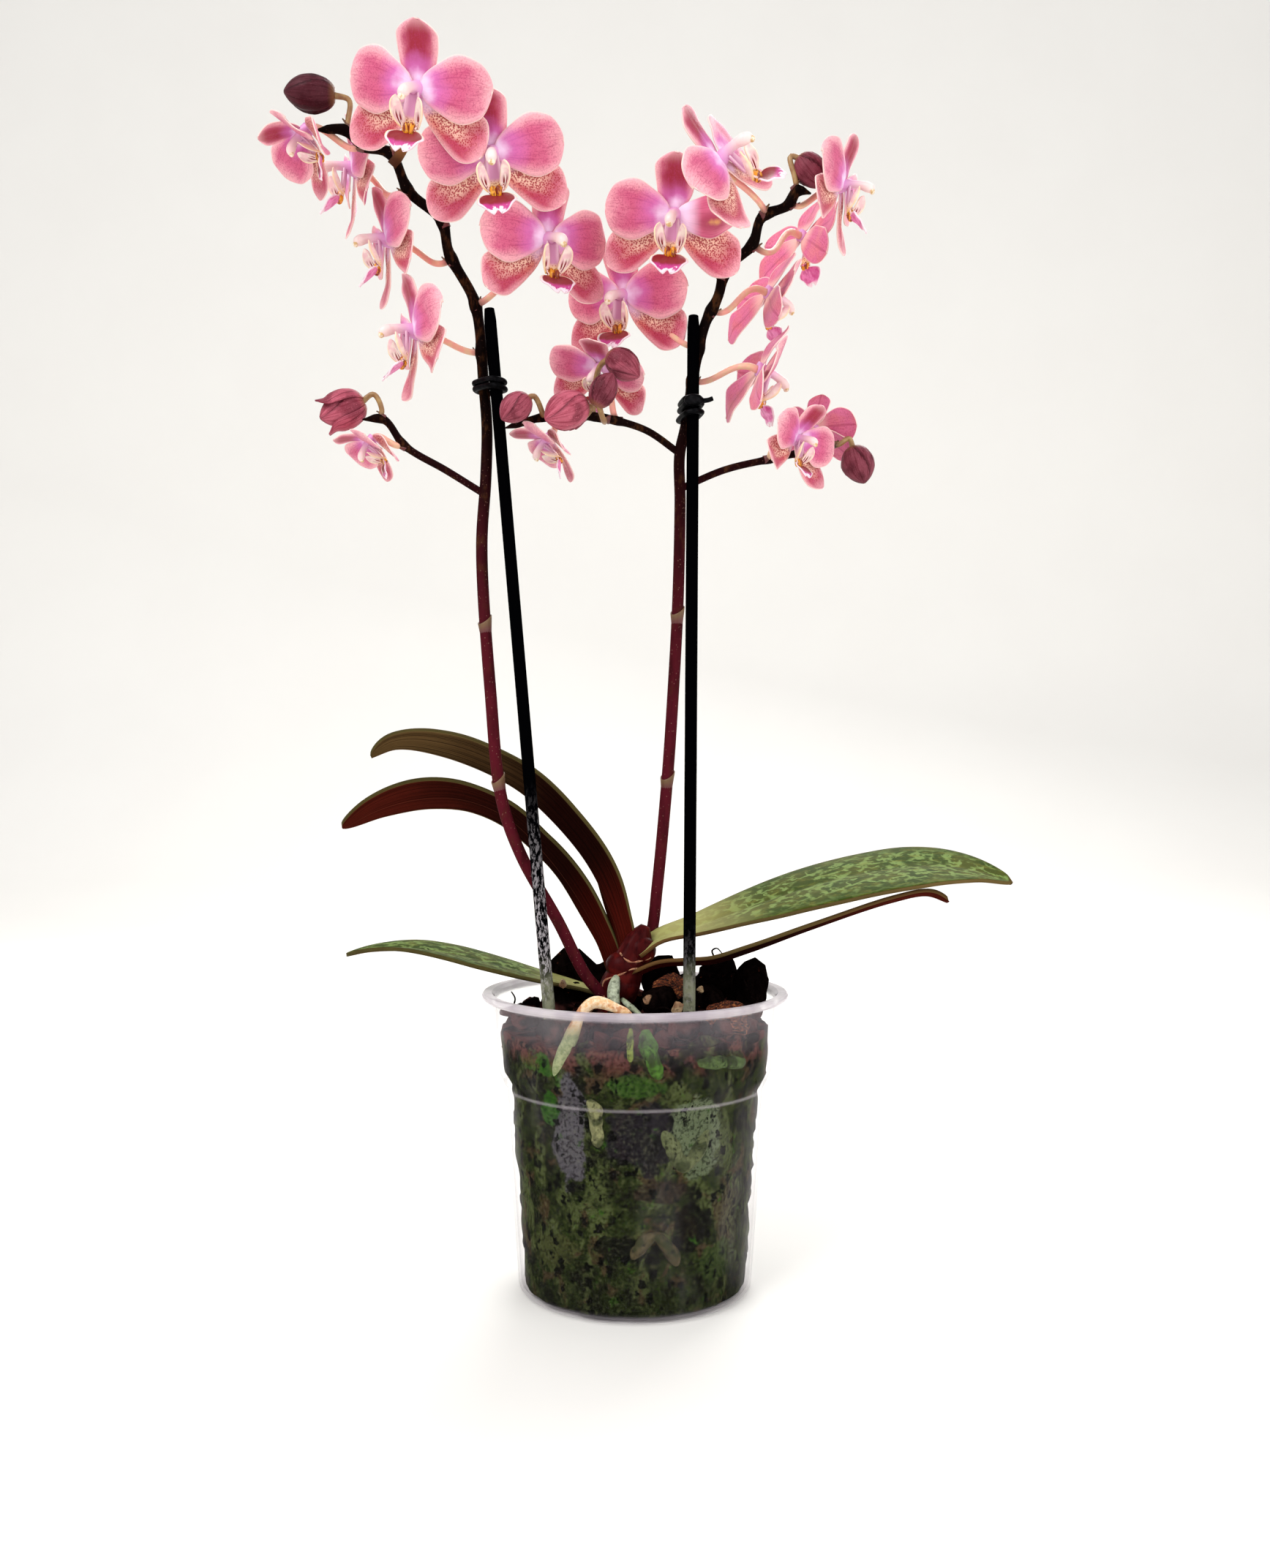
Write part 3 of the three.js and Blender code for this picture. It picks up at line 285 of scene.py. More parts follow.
# Pot: (radius, height) of its outer and inner face from the base's centre up to the rim and down again.
POT_PROFILE = [
    (0, 0), (41.2, 0), (42.7, 0.4), (43.7, 1.6), (48.8, 74.4), (49.4, 75.6), (51.6, 80.2), (52, 81.4),
    (53.5, 106.6), (54.2, 107.5), (56.6, 107.8), (57.4, 108.6), (57.5, 109.4), (56.9, 110.2),
    (55.6, 110.4), (53.8, 110.2), (52.8, 109), (51.1, 81.2), (50.7, 80.1), (48.6, 75.8), (47.9, 74.6),
    (42.8, 2.4), (41.6, 1.4), (0, 1.4),
]
DRAINS = {"count": 4, "radius": 3, "circle": 26}
# The wall's inner radius, as (height, radius), and how far what lies below TRIM_TOP stays away from it.
WALL_INSIDE = [(0, 42.8), (75, 47.9), (81, 51.1), (110.4, 52.7)]
WALL_CLEARANCE = 0.45
TRIM_TOP = 109

# Fill: its body lies a little behind the wall, and lumps stand against the wall and on top. Both kinds
# of lump are spread by the golden angle.
FILL_FLOOR = 1.7
FILL_TOP = 100
FILL_SHOULDER = 97
FILL_INSET = 1.9
WALL_LUMPS = {"count": 120, "depth": 4.2, "low": 5, "rise": 92}
TOP_LUMPS = {"count": 110, "spread": 46}
GOLDEN_TURN = 2.4
# Large lumps of bark that stand on the fill.
BIG_CHUNKS = [
    {"at": (35, 29, 108), "size": (20, 13, 22), "turn": 0.5},
    {"at": (43.5, 9, 108), "size": (14, 13, 21), "turn": 1.2},
    {"at": (27, 20, 106), "size": (18, 12, 16), "turn": 2.2},
    {"at": (18, -36, 103), "size": (13, 9, 8), "turn": 0.3},
    {"at": (34, -31, 104.5), "size": (19, 10, 11), "turn": -0.7, "fibre": True},
    {"at": (10, -17, 108), "size": (14, 9, 10), "turn": 0.6},
    {"at": (12, -12, 113.5), "size": (13, 10, 10), "turn": 0.4, "fibre": True},
    {"at": (29, -8, 106), "size": (18, 12, 12), "turn": 1.9},
    {"at": (20, 4, 108), "size": (16, 12, 14), "turn": 0.9},
    {"at": (-24, 12, 104), "size": (18, 12, 12), "turn": 0.9},
    {"at": (-25, 29, 110), "size": (20, 12, 26), "turn": -0.2},
    {"at": (-12, 22, 108), "size": (18, 12, 18), "turn": 0.5},
    {"at": (12, 27, 109), "size": (20, 12, 20), "turn": 0.2},
    {"at": (-38, -16, 102), "size": (14, 10, 7), "turn": 0.8},
    {"at": (-20, -22, 103), "size": (14, 10, 8), "turn": 1.4},
]
# Small pale chips (place, size) and thin twigs on the bark.
CHIPS = [
    ((-17, -26, 107.5), (5, 3, 3.4)), ((4.5, -22, 110), (4, 3, 3.6)), ((15, -27, 107.5), (4.4, 3, 5)),
    ((24, -14, 112.5), (4, 2.4, 2.4)), ((-27, -3, 113), (4, 2.6, 3)), ((40, -22, 106), (5, 3, 3)),
]
TWIGS = [
    [(-42, -20, 104), (-44, -20, 107), (-43.6, -19.6, 110), (-45, -19, 112.4)],
    [(29, 10, 117), (30.4, 9, 121), (29.6, 8.6, 124), (31.4, 8, 125), (33.4, 8, 123)],
    [(-22, 14, 117), (-25, 12, 118.6), (-28, 10, 117.6), (-31, 9, 119)],
    [(-48, -8, 104), (-44, -16, 106.4), (-36, -26, 106), (-30, -30, 104)],
    [(34, 4, 114), (37, 0, 117), (40, -3, 116), (42, -4, 112)],
    [(6, -24, 104), (8, -28, 107.6), (12, -31, 108), (14, -32, 104)],
]
# Large patches that show through the front of the wall, in millimetres: place across and up, half sizes,
# and the colour. The first, pale slate one is a painted reflection; the others are patches of the fill.
FILM_PATCHES = [
    ((-23, 67), (5.6, 20), (80, 76, 82)), ((2, 66), (12, 12), (30, 26, 32)),
    ((22, 66), (9, 14), (92, 102, 76)), ((19.5, 32), (6.5, 9), (6, 6, 5)),
    ((-30, 22), (10, 7), (58, 62, 32)), ((-33, 90), (7, 4), (44, 84, 22)),
    ((-29.5, 74), (3, 7), (40, 80, 20)), ((8, 46), (9, 4), (40, 30, 24)),
    ((0, 84), (9, 4), (44, 70, 22)), ((34, 34), (6, 12), (64, 58, 38)),
    ((30, 18), (7, 7), (48, 62, 26)), ((-5, 26), (10, 5), (12, 14, 8)),
]

# Crown: (height, radius) of the stem.
CROWN_PROFILE = [
    (90, 4.4), (100, 6), (107, 7.2), (112, 7.8), (116, 7.3), (118.4, 6.9), (121, 7.1), (124.4, 6.4),
    (128, 5.6), (131, 4.4), (134.5, 1.8),
]
# Papery edges of the sheaths: points across and up, laid on the front of the stem.
CROWN_EDGES = [
    [(-11.2, 107.4), (-12.2, 111), (-11.6, 114), (-9.5, 115.4), (-5.7, 116.8), (-1.5, 118.8), (2.4, 119)],
    [(-5.6, 124.8), (-3.6, 122.6), (-1.6, 121.6), (2.2, 121.8), (6, 123)],
]
# Where a sheath stands out of the stem: its middle and half sizes.
CROWN_SWELLS = [
    ((-5.8, -1.4, 111.4), (7.4, 6.4, 6.2)),
    ((-4.6, -1.6, 119.6), (6.6, 6, 5.6)),
    ((2, -1.2, 125.4), (6, 5.4, 5.8)),
]
CROWN_ROOTS = [
    ("stub", [(-6.6, -4, 116), (-7.4, -8.6, 114.6), (-8, -11.6, 111), (-7.6, -13.4, 106.5)],
     [(0, 0.9), (0.25, 1.6), (0.6, 2.3), (1, 2.2)]),
    ("thread", [(-4.6, -10, 108), (-3, -15, 107.4), (0, -19, 105.6), (3, -22, 103.4)],
     [(0, 0.9), (0.5, 1.1), (1, 0.6)]),
]

# Ties: (height, slope) of their loops, and for one a knot with its tail's points from the knot's middle.
TIES = {
    "left": {"loops": ((337.2, 0.5), (334.8, 0.7)), "wire": 1.1},
    "right": {
        "loops": ((330.6, 0.3), (328.8, -0.4), (325.4, -0.6)), "wire": 1.05, "knot": (3.6, 2, 2.3),
        "tail": [(0, 0, 0.2), (3, 0.2, -0.2), (5.4, 0.4, 0.1), (7, 0.4, 0.7)],
    },
}

# Blooms, in their own axes: X across, Y along from the foot, Z forward.
# A tepal's rows are (along, upper half width, lower half width, forward place of both edges).
DORSAL = [(1, 1.5, 1.5, -0.8, -0.8), (7.6, 6.4, 6.4, -0.8, -0.8), (15.6, 7.4, 7.4, 0.2, 0.2),
          (20.6, 0, 0, 1.8, 1.8)]
PETAL = [(0.4, 1.5, 1.5, 0.9, 0.9), (7, 7.4, 7.2, 0.9, 0.6), (14.5, 10.6, 10.6, -0.4, -0.4),
         (21, 8.6, 8.6, -1.8, -1.8), (25, 0, 0, -3, -3)]
ODD_PETAL = [(0.4, 1.5, 1.5, 0.9, 0.9), (6, 4.6, 6.6, 0.4, 0.8), (12.5, 6.2, 8.4, -1.4, 0.6),
             (18.5, 4.4, 5.6, -2.8, -0.6), (23.5, 0, 0, -4, -4)]
LATERAL = [(-0.4, 1.5, 1.5, -0.8, -0.8), (9, 7.4, 6.2, -3, -0.6), (19.5, 8.6, 7.4, -4.6, -0.4),
           (27.2, 0, 0, 0.5, 0.5)]
TEPALS = [
    {"form": "dorsal", "turn": 0, "start": (0, 3.2, 0), "lean": 1, "way": 1},
    {"form": "petal", "turn": 87, "start": (0.8, 3.2, 0), "lean": 0.8, "way": 1},
    {"form": "petal", "turn": 87, "start": (0.8, 3.2, 0), "lean": 0.8, "way": -1},
    {"form": "lateral", "turn": 127, "start": (2.2, 0.6, 0), "lean": 0.6, "way": 1},
    {"form": "lateral", "turn": 127, "start": (2.2, 0.6, 0), "lean": 0.6, "way": -1},
]
# Degrees that the tepals of a shut bloom lean forward.
LEAN_SHUT = 75
LIP_THICKNESS = 0.6
SIDE_LOBE_THICKNESS = 0.55
PEDICEL_START = (0, 1.8, -1.4)
PEDICEL_BOW = 0.45
# Buds: (share of the length, share of the width), and the seam where one sepal laps over the next.
BUD_PROFILE = [
    (0, 0.4), (0.06, 0.64), (0.2, 0.88), (0.42, 1), (0.62, 0.94), (0.8, 0.72), (0.93, 0.4), (1, 0.1),
]
BUD_LEAN = 0.45
BUD_LAP_START = 0.3
BUD_STALK_RADIUS = 0.00105

# Studio, in metres: the floor's sweep as (back, height), and its lamps with their place, width and power.
FLOOR_PROFILE = [(-1.6, 0), (1.2, 0), (1.5, 0.04), (1.72, 0.18), (1.86, 0.42), (1.9, 0.8), (1.9, 2.6)]
SKY_STRENGTH = 0.66
LAMPS = [
    ("key", (-0.9, -1.0, 1.5), 1.0, 22),
    ("fill", (1.1, -0.9, 0.7), 1.2, 9),
    ("rim", (0.3, 1.1, 1.2), 1.0, 15),
]
LAMP_TARGET = Vector((0, 0, 0.25))
CAMERA = {"place": (0, -0.525, 0.188), "lens": 31.9, "sensor": 36, "nearest": 0.01}


def length_property(name, description, default, low, high):
    """A length in metres."""
    return bpy.props.FloatProperty(
        name=name, description=description, default=default, min=low, max=high, unit="LENGTH", precision=5)


def colour_property(name, description, red, green, blue):
    """A display colour from 0 to 255."""
    return bpy.props.FloatVectorProperty(
        name=name, description=description, default=colour(red, green, blue), size=3, min=0, max=1,
        subtype="COLOR")


class OrchidSizes(bpy.types.PropertyGroup):
    """Sizes of the pieces that a user would change."""

    petal_thickness: length_property("Petal", "Thickness of a petal", 0.0005, 0.0003, 0.0008)
    leaf_thickness: length_property("Leaf", "Thickness of a leaf", 0.0014, 0.001, 0.002)
    pedicel_radius: length_property("Pedicel", "Radius of a flower stalk", 0.00125, 0.001, 0.0016)
    stake_radius: length_property("Stake", "Radius of a stake", 0.00225, 0.002, 0.0025)
    bark_seed: bpy.props.IntProperty(
        name="Bark seed", description="Seed of the bark's draw", default=7, min=0)


class OrchidColours(bpy.types.PropertyGroup):
    """Colours of the plant and its pot."""

    petal: colour_property("Petal", "Middle of a petal", 208, 92, 130)
    petal_edge: colour_property("Petal edge", "Outer part of a petal", 238, 164, 176)
    petal_vein: colour_property("Petal vein", "Veins and fine specks of a petal", 168, 46, 92)
    petal_back: colour_property("Petal back", "Back of a petal", 226, 126, 142)
    violet: colour_property("Violet", "Petal between its foot and its middle", 220, 118, 198)
    glow: colour_property("Glow", "Foot of a petal", 250, 222, 250)
    cream: colour_property("Cream", "Ground of the spotted part of a side sepal", 247, 208, 184)
    spot: colour_property("Spot", "Spots of a side sepal", 164, 38, 54)
    lip: colour_property("Lip", "Middle lobe near the callus", 134, 2, 22)
    lip_front: colour_property("Lip front", "Middle lobe near its edge", 190, 44, 130)
    callus: colour_property("Callus", "Callus of the lip", 232, 150, 22)
    bud: colour_property("Bud", "Shaded part of a bud", 124, 34, 52)
    bud_light: colour_property("Bud light", "Light part of a bud", 190, 98, 116)
    pedicel: colour_property("Pedicel", "Flower stalks", 234, 164, 148)
    stem: colour_property("Stem", "Flower stems among the flowers", 14, 7, 6)
    stem_low: colour_property("Stem low", "Flower stems lower down", 78, 20, 30)
    leaf_green: colour_property("Leaf", "Upper face of a mottled leaf", 50, 66, 18)
    leaf_silver: colour_property("Leaf silver", "Net of flecks on a mottled leaf", 128, 152, 84)
    leaf_fleck: colour_property("Leaf fleck", "Fine flecks on a mottled leaf", 116, 116, 46)
    leaf_dark: colour_property("Leaf underside", "Underside of a leaf by the crown", 30, 10, 7)
    leaf_brown: colour_property("Leaf brown", "Underside of a leaf near its tip", 92, 70, 42)
    crown: colour_property("Crown", "Sheaths of the crown", 62, 13, 14)
    bark: colour_property("Bark", "Bark of the fill", 14, 8, 7)
    moss: colour_property("Algae", "Green growth behind the wall", 34, 42, 14)
    film: colour_property("Film", "Pale green film behind the wall", 66, 74, 40)
    dry_root: colour_property("Dry root", "The dried root over the bark", 226, 178, 124)
    floor: colour_property("Floor", "Floor of the stage", 244, 242, 238)


class Finish:
    """One procedural material, built up node by node on its Principled shader."""

    def __init__(self, name, roughness=0.5, **constants):
        self.material = bpy.data.materials.new(name)
        self.material.use_nodes = True
        self.tree = self.material.node_tree
        self.surface = self.tree.nodes["Principled BSDF"]
        self.surface.inputs["Roughness"].default_value = roughness
        for socket, value in constants.items():
            self.surface.inputs[socket.replace("_", " ")].default_value = value
        coordinates = self.tree.nodes.new("ShaderNodeTexCoord")
        self.place = coordinates.outputs["Object"]
        split = self.node("ShaderNodeSeparateXYZ", {0: coordinates.outputs["UV"]})
        self.u, self.v = split.outputs[0], split.outputs[1]
        self.shade = (1, 1, 1)

    def node(self, kind, sockets, **settings):
        made = self.tree.nodes.new(kind)
        for key, value in settings.items():
            setattr(made, key, value)
        for key, value in sockets.items():
            if isinstance(value, bpy.types.NodeSocket):
                self.tree.links.new(value, made.inputs[key])
            else:
                made.inputs[key].default_value = value
        return made

    def math(self, operation, a, b=0.0):
        return self.node("ShaderNodeMath", {0: a, 1: b}, operation=operation).outputs[0]

    def plus(self, total, *others):
        for other in others:
            total = self.math("ADD", total, other)
        return total

    def times(self, total, *others):
        for other in others:
            total = self.math("MULTIPLY", total, other)
        return total

    def less(self, a, b):
        return self.math("SUBTRACT", a, b)

    def most(self, a, b):
        return self.math("MAXIMUM", a, b)

    def blend(self, factor, a, b):
        """Colour a where factor is 0 and colour b where it is 1."""
        a, b = (value if isinstance(value, bpy.types.NodeSocket) else (*value[:3], 1) for value in (a, b))
        return self.node("ShaderNodeMix", {0: factor, 6: a, 7: b}, data_type="RGBA").outputs[2]

    def between(self, value, low, high, from_=0.0, to=1.0):
        """A smooth step of value from from_ at low to to at high."""
        sockets = {0: value, 1: low, 2: high, 3: from_, 4: to}
        return self.node("ShaderNodeMapRange", sockets, interpolation_type="SMOOTHSTEP").outputs[0]

    def over(self, tint, factor):
        """Lays a tint over the shade so far, as strongly as factor says."""
        self.shade = self.blend(factor, self.shade, tint)

    def fade(self, tint, value, low, high, from_=0.0, to=1.0):
        """Lays a tint over the shade so far, by a smooth step of value."""
        self.over(tint, self.between(value, low, high, from_, to))

    def ground(self, value, low, high, first, second, from_=0.0, to=1.0):
        """Starts the shade with two tints, first at low and second at high."""
        self.shade = first
        self.fade(second, value, low, high, from_, to)

    def stretched(self, vector, stretch):
        return self.node("ShaderNodeMapping", {0: vector, 3: stretch}).outputs[0]

    def noise(self, size, detail=2.0, roughness=0.5, stretch=(1, 1, 1), vector=None, distortion=0.0):
        """Noise from 0 to 1 whose grain is about size metres."""
        place = self.stretched(vector or self.place, stretch)
        sockets = {"Vector": place, "Scale": 1 / size, "Detail": detail, "Roughness": roughness,
                   "Distortion": distortion}
        return self.node("ShaderNodeTexNoise", sockets).outputs[0]

    def cells(self, size, vector=None, feature="F1", randomness=1.0):
        """Distance to the nearest of scattered points about size metres apart."""
        sockets = {"Vector": vector or self.place, "Scale": 1 / size, "Randomness": randomness}
        return self.node("ShaderNodeTexVoronoi", sockets, feature=feature).outputs["Distance"]

    def uv_noise(self, across, along, detail, roughness=0.5, distortion=0.0):
        """Noise on the UV map, for a pattern that runs along a piece."""
        where = {0: self.times(self.u, across), 1: self.times(self.v, along)}
        field = self.node("ShaderNodeCombineXYZ", where).outputs[0]
        return self.noise(1.0, detail, roughness, vector=field, distortion=distortion)

    def edge(self):
        """0 on the middle line of a blade and 1 on its side edges."""
        return self.math("ABSOLUTE", self.less(self.times(self.u, 2.0), 1.0))

    def rim(self):
        """1 on the side edges and at the tip of a blade."""
        return self.most(self.edge(), self.v)

    def height(self):
        return self.node("ShaderNodeSeparateXYZ", {0: self.place}).outputs[2]

    def done(self, relief=None, depth=0.0, strength=0.5):
        """The material in its shade, with relief of depth metres where there is any."""
        self.tree.links.new(self.shade, self.surface.inputs["Base Color"])
        if relief:
            made = self.node("ShaderNodeBump", {"Height": relief, "Distance": depth, "Strength": strength})
            self.tree.links.new(made.outputs[0], self.surface.inputs["Normal"])
        return self.material


def veins(look, across, along, drift=1.0):
    """Lines along a blade, from 0 to 1, that follow its UV map."""
    return look.uv_noise(across, along, 3.0, 0.6, drift)


def petal_finish(name, tints, spotted=False, deep=False):
    """The front of a petal or sepal: a pale foot, a violet and rose middle, a warm outside, a light margin.

    A deep one is crimson in its middle, partly its own colour and partly painted shade, and a spotted one
    is redder, with its spots near the lip.
    """
    look = Finish(name, 0.5, Sheen_Weight=0.1, Specular_IOR_Level=0.25)
    side = look.edge()
    cloud = look.less(look.noise(0.005, 3.0), 0.5)
    billow = look.times(cloud, 0.5)
    wander = look.plus(look.most(look.times(side, 0.95), look.v), billow)
    look.ground(wander, 0.4, 1.0, tints.petal, tints.petal_edge)
    if deep:
        # Crimson middle of a top sepal: partly its own colour, partly painted shade.
        look.fade(colour(150, 18, 44), look.plus(side, billow), 0.3, 1.0, 0.95, 0)
    if spotted:
        look.fade(colour(186, 62, 86), wander, 0.4, 1.05, 0.95, 0.3)
    lines = veins(look, 26, 1.4, 0.6)
    look.fade(tints.petal_vein, lines, 0.5, 0.68, 0, 0.6)
    look.fade(tints.petal_vein, look.noise(0.0006, 3.0, 0.7), 0.5, 0.6, 0, 0.5)
    near = look.plus(look.v, look.times(side, 0.1), look.times(cloud, 0.2))
    if spotted:
        spots(look, tints)
    else:
        look.fade(tints.violet, near, 0.14, 0.46, 0.75, 0)
    look.fade(tints.glow, near, 0.05, 0.24, 1, 0)
    look.fade(colour(248, 192, 196), look.rim(), 0.62, 0.99, 0, 0.5)
    look.fade(colour(252, 222, 212), look.rim(), 0.955, 0.99, 0, 0.75)
    return look.done(lines, 0.00025)


def spots(look, tints):
    """Cream ground with rows of crimson spots on the inner half of a side sepal, and a warm band below."""
    low = look.between(look.u, 0.55, 0.85)
    wander = look.plus(look.v, look.times(low, 0.35), look.times(look.noise(0.004), 0.25))
    look.over(colour(206, 84, 72), look.times(look.between(look.v, 0.1, 0.5, 1, 0), low))
    look.fade(tints.cream, wander, 0.42, 0.84, 0.9, 0)
    rows = look.stretched(look.place, (1, 1, 0.78))
    size = look.between(wander, 0.3, 0.9, 0.56, 0.42)
    dots = look.less(look.cells(0.00058, vector=rows, randomness=0.8), size)
    spread = look.between(wander, 0.7, 1.1, 1, 0.3)
    look.over(tints.spot, look.times(look.between(dots, -0.1, 0.06, 0.9, 0), spread))


def back_finish(name, tints):
    """The back of a petal: rose with violet clouds and fine lines, a deeper keel, a pale foot and margin."""
    look = Finish(name, 0.5, Sheen_Weight=0.1, Specular_IOR_Level=0.25)
    lines = veins(look, 20, 1.2)
    look.ground(look.noise(0.007, 3.0), 0.35, 0.6, tints.petal_back, colour(222, 118, 158))
    look.fade(tints.petal, lines, 0.45, 0.7, 0, 0.7)
    look.fade(tints.petal_vein, look.noise(0.0006, 3.0, 0.7), 0.5, 0.62, 0, 0.35)
    look.fade(tints.petal_vein, look.edge(), 0.0, 0.14, 0.5, 0)
    look.fade(colour(250, 206, 190), look.v, 0.02, 0.26, 0.8, 0)
    look.fade(colour(252, 220, 208), look.rim(), 0.94, 0.99, 0, 0.7)
    return look.done(lines, 0.0003, 0.6)


def lip_finish(name, tints):
    """The middle lobe: dark red by the callus, then magenta, with a white ragged front edge."""
    look = Finish(name, 0.4, Sheen_Weight=0.1)
    flame = look.uv_noise(5, 1.5, 2.0)
    reach = look.plus(look.v, look.times(look.less(flame, 0.5), 0.35))
    spill = look.between(look.noise(0.0022, 3.0), 0.5, 0.62, 0, 0.12)
    look.ground(reach, 0.56, 0.72, tints.lip, tints.lip_front)
    sides = look.times(look.edge(), look.between(look.v, 0.1, 0.6, 0.84, 0.95))
    look.fade(colour(240, 218, 230), look.most(sides, look.plus(reach, spill)), 0.8, 0.88)
    fringe = look.between(look.edge(), 0.93, 0.99, 0, 0.7)
    look.over(colour(250, 214, 130), look.times(fringe, look.between(look.v, 0.5, 0.7, 1, 0)))
    return look.done(flame, 0.0004)


def lip_under_finish(name):
    """The middle lobe from below: bright magenta with a pale tip and edge. The magenta is partly its own
    colour and partly painted light, lifted because this side lies in shade.
    """
    look = Finish(name, 0.4, Sheen_Weight=0.1)
    # Partly its own magenta, partly painted light: lighter because this side lies in shade.
    look.ground(look.noise(0.002, 3.0), 0.35, 0.65, colour(206, 62, 138), colour(236, 128, 188))
    look.fade(colour(248, 224, 232), look.most(look.v, look.times(look.edge(), 0.9)), 0.76, 0.92)
    return look.done()


def odd_finish(name, tints):
    """A petal that grew like a lip: a dark magenta patch and a yellow spot on its lower half."""
    look = Finish(name, 0.45, Sheen_Weight=0.1)
    lines = veins(look, 26, 2.0, 0.8)
    look.ground(look.v, 0.3, 0.9, tints.petal, tints.petal_edge)
    look.fade(tints.petal_vein, lines, 0.45, 0.7, 0, 0.6)
    across, along = look.less(look.u, 0.66), look.less(look.v, 0.45)
    square = look.plus(look.times(across, across), look.times(along, along))
    far = look.math("SQRT", look.plus(square, look.times(look.noise(0.003), 0.03)))
    look.fade(colour(150, 22, 60), far, 0.12, 0.36, 0.85, 0)
    look.fade(colour(240, 188, 96), far, 0.1, 0.17, 0.85, 0)
    look.fade(tints.glow, look.v, 0.08, 0.3, 1, 0)
    look.fade((0.98, 0.78, 0.7), look.rim(), 0.95, 0.99, 0, 0.8)
    return look.done(lines, 0.0003)


def side_lobe_finish(name):
    """A side lobe outside: cream and faint pink, yellow along its outer edge and foot."""
    look = Finish(name, 0.45, Specular_IOR_Level=0.25)
    look.ground(look.noise(0.0025), 0.4, 0.66, colour(244, 210, 206), colour(252, 238, 226))
    look.fade(colour(250, 222, 160), look.u, 0.8, 0.97, 0, 0.6)
    look.fade(colour(246, 202, 120), look.v, 0.04, 0.24, 0.8, 0)
    return look.done()


def side_lobe_inner_finish(name, tints):
    """A side lobe inside: cream, with a few crimson streaks low down beside the trough."""
    look = Finish(name, 0.45, Specular_IOR_Level=0.25)
    look.ground(look.noise(0.0025), 0.4, 0.66, colour(242, 202, 206), colour(252, 236, 226))
    turned = look.plus(look.times(look.u, 19.0), look.times(look.v, 9.0))
    stripe = look.between(look.math("SINE", turned), -0.3, 0.3)
    low = look.between(look.v, 0.36, 0.6, 1, 0)
    look.over(tints.lip, look.times(stripe, low, look.between(look.edge(), 0.5, 0.85, 1, 0)))
    look.fade(colour(250, 226, 176), look.edge(), 0.88, 0.98, 0, 0.5)
    return look.done()


def callus_finish(name, tints):
    """The callus: orange bars and yellow patches."""
    look = Finish(name, 0.35)
    bars = look.noise(0.0007, 2.0, stretch=(1, 0.25, 0.25))
    look.ground(bars, 0.44, 0.54, tints.callus, colour(134, 44, 10))
    look.fade(colour(248, 204, 84), look.noise(0.0015), 0.55, 0.7, 0, 0.6)
    return look.done()


def claw_finish(name, tints):
    """The trough: mauve by the column, then cream with crimson spots by the callus."""
    look = Finish(name, 0.45)
    low = look.between(look.v, 0.55, 0.75)
    look.shade = colour(206, 140, 178)
    look.over(colour(246, 208, 160), low)
    look.fade(colour(248, 214, 226), look.edge(), 0.5, 1.0, 0, 0.6)
    look.over(tints.spot, look.times(look.between(look.cells(0.0007), 0.28, 0.4, 1, 0), low))
    return look.done()


def column_finish(name, tints):
    """The column: violet at its foot and cream towards its head."""
    look = Finish(name, 0.4)
    look.ground(look.v, 0.15, 0.75, colour(222, 150, 206), colour(242, 216, 212))
    look.fade(tints.petal_edge, look.noise(0.002), 0.5, 0.75, 0, 0.25)
    return look.done()


def cap_finish(name):
    """The cap at the column's tip."""
    look = Finish(name, 0.35)
    look.ground(look.noise(0.0012), 0.4, 0.6, colour(244, 228, 206), colour(206, 168, 112))
    return look.done()


def stalk_finish(name, tint, dark, green):
    """A flower stalk, dark at its foot on the stem and greener or pinker towards its flower."""
    look = Finish(name, 0.45, Coat_Weight=0.1)
    look.ground(look.noise(0.003, 3.0), 0.35, 0.7, tint, green)
    look.fade(dark, look.v, 0.82, 1.0)
    return look.done(look.noise(0.0006), 0.00015)


def bud_finish(name, light, dark):
    """A bud's sepals: fine lines and pale specks, painted shade along the seam where one laps over the next,
    a brown foot.
    """
    look = Finish(name, 0.4, Specular_IOR_Level=0.06)
    lines = veins(look, 44, 1.6, 0.5)
    look.ground(lines, 0.42, 0.66, light, dark, 0.1, 0.75)
    look.fade(dimmed(dark, 0.5), look.noise(0.008, 3.0), 0.46, 0.64, 0, 0.6)
    pale = tuple(min(c * 2 + 0.03, 1) for c in light)
    look.fade(pale, look.noise(0.0005, 3.0, 0.7), 0.56, 0.7, 0, 0.3)
    # The dark line along each seam is painted shade under the lapping edge.
    around = look.plus(look.times(look.u, 3.0), look.times(look.v, BUD_LEAN), BUD_LAP_START)
    lap = look.math("FRACT", around)
    seam_shade = look.most(look.between(lap, 0.0, 0.05, 0.8, 0), look.between(lap, 0.9, 1.0, 0, 0.5))
    look.over(dimmed(dark, 0.3), seam_shade)
    look.fade(colour(142, 100, 60), look.v, 0.0, 0.14, 0.5, 0)
    return look.done(lines, 0.0003, 0.6)


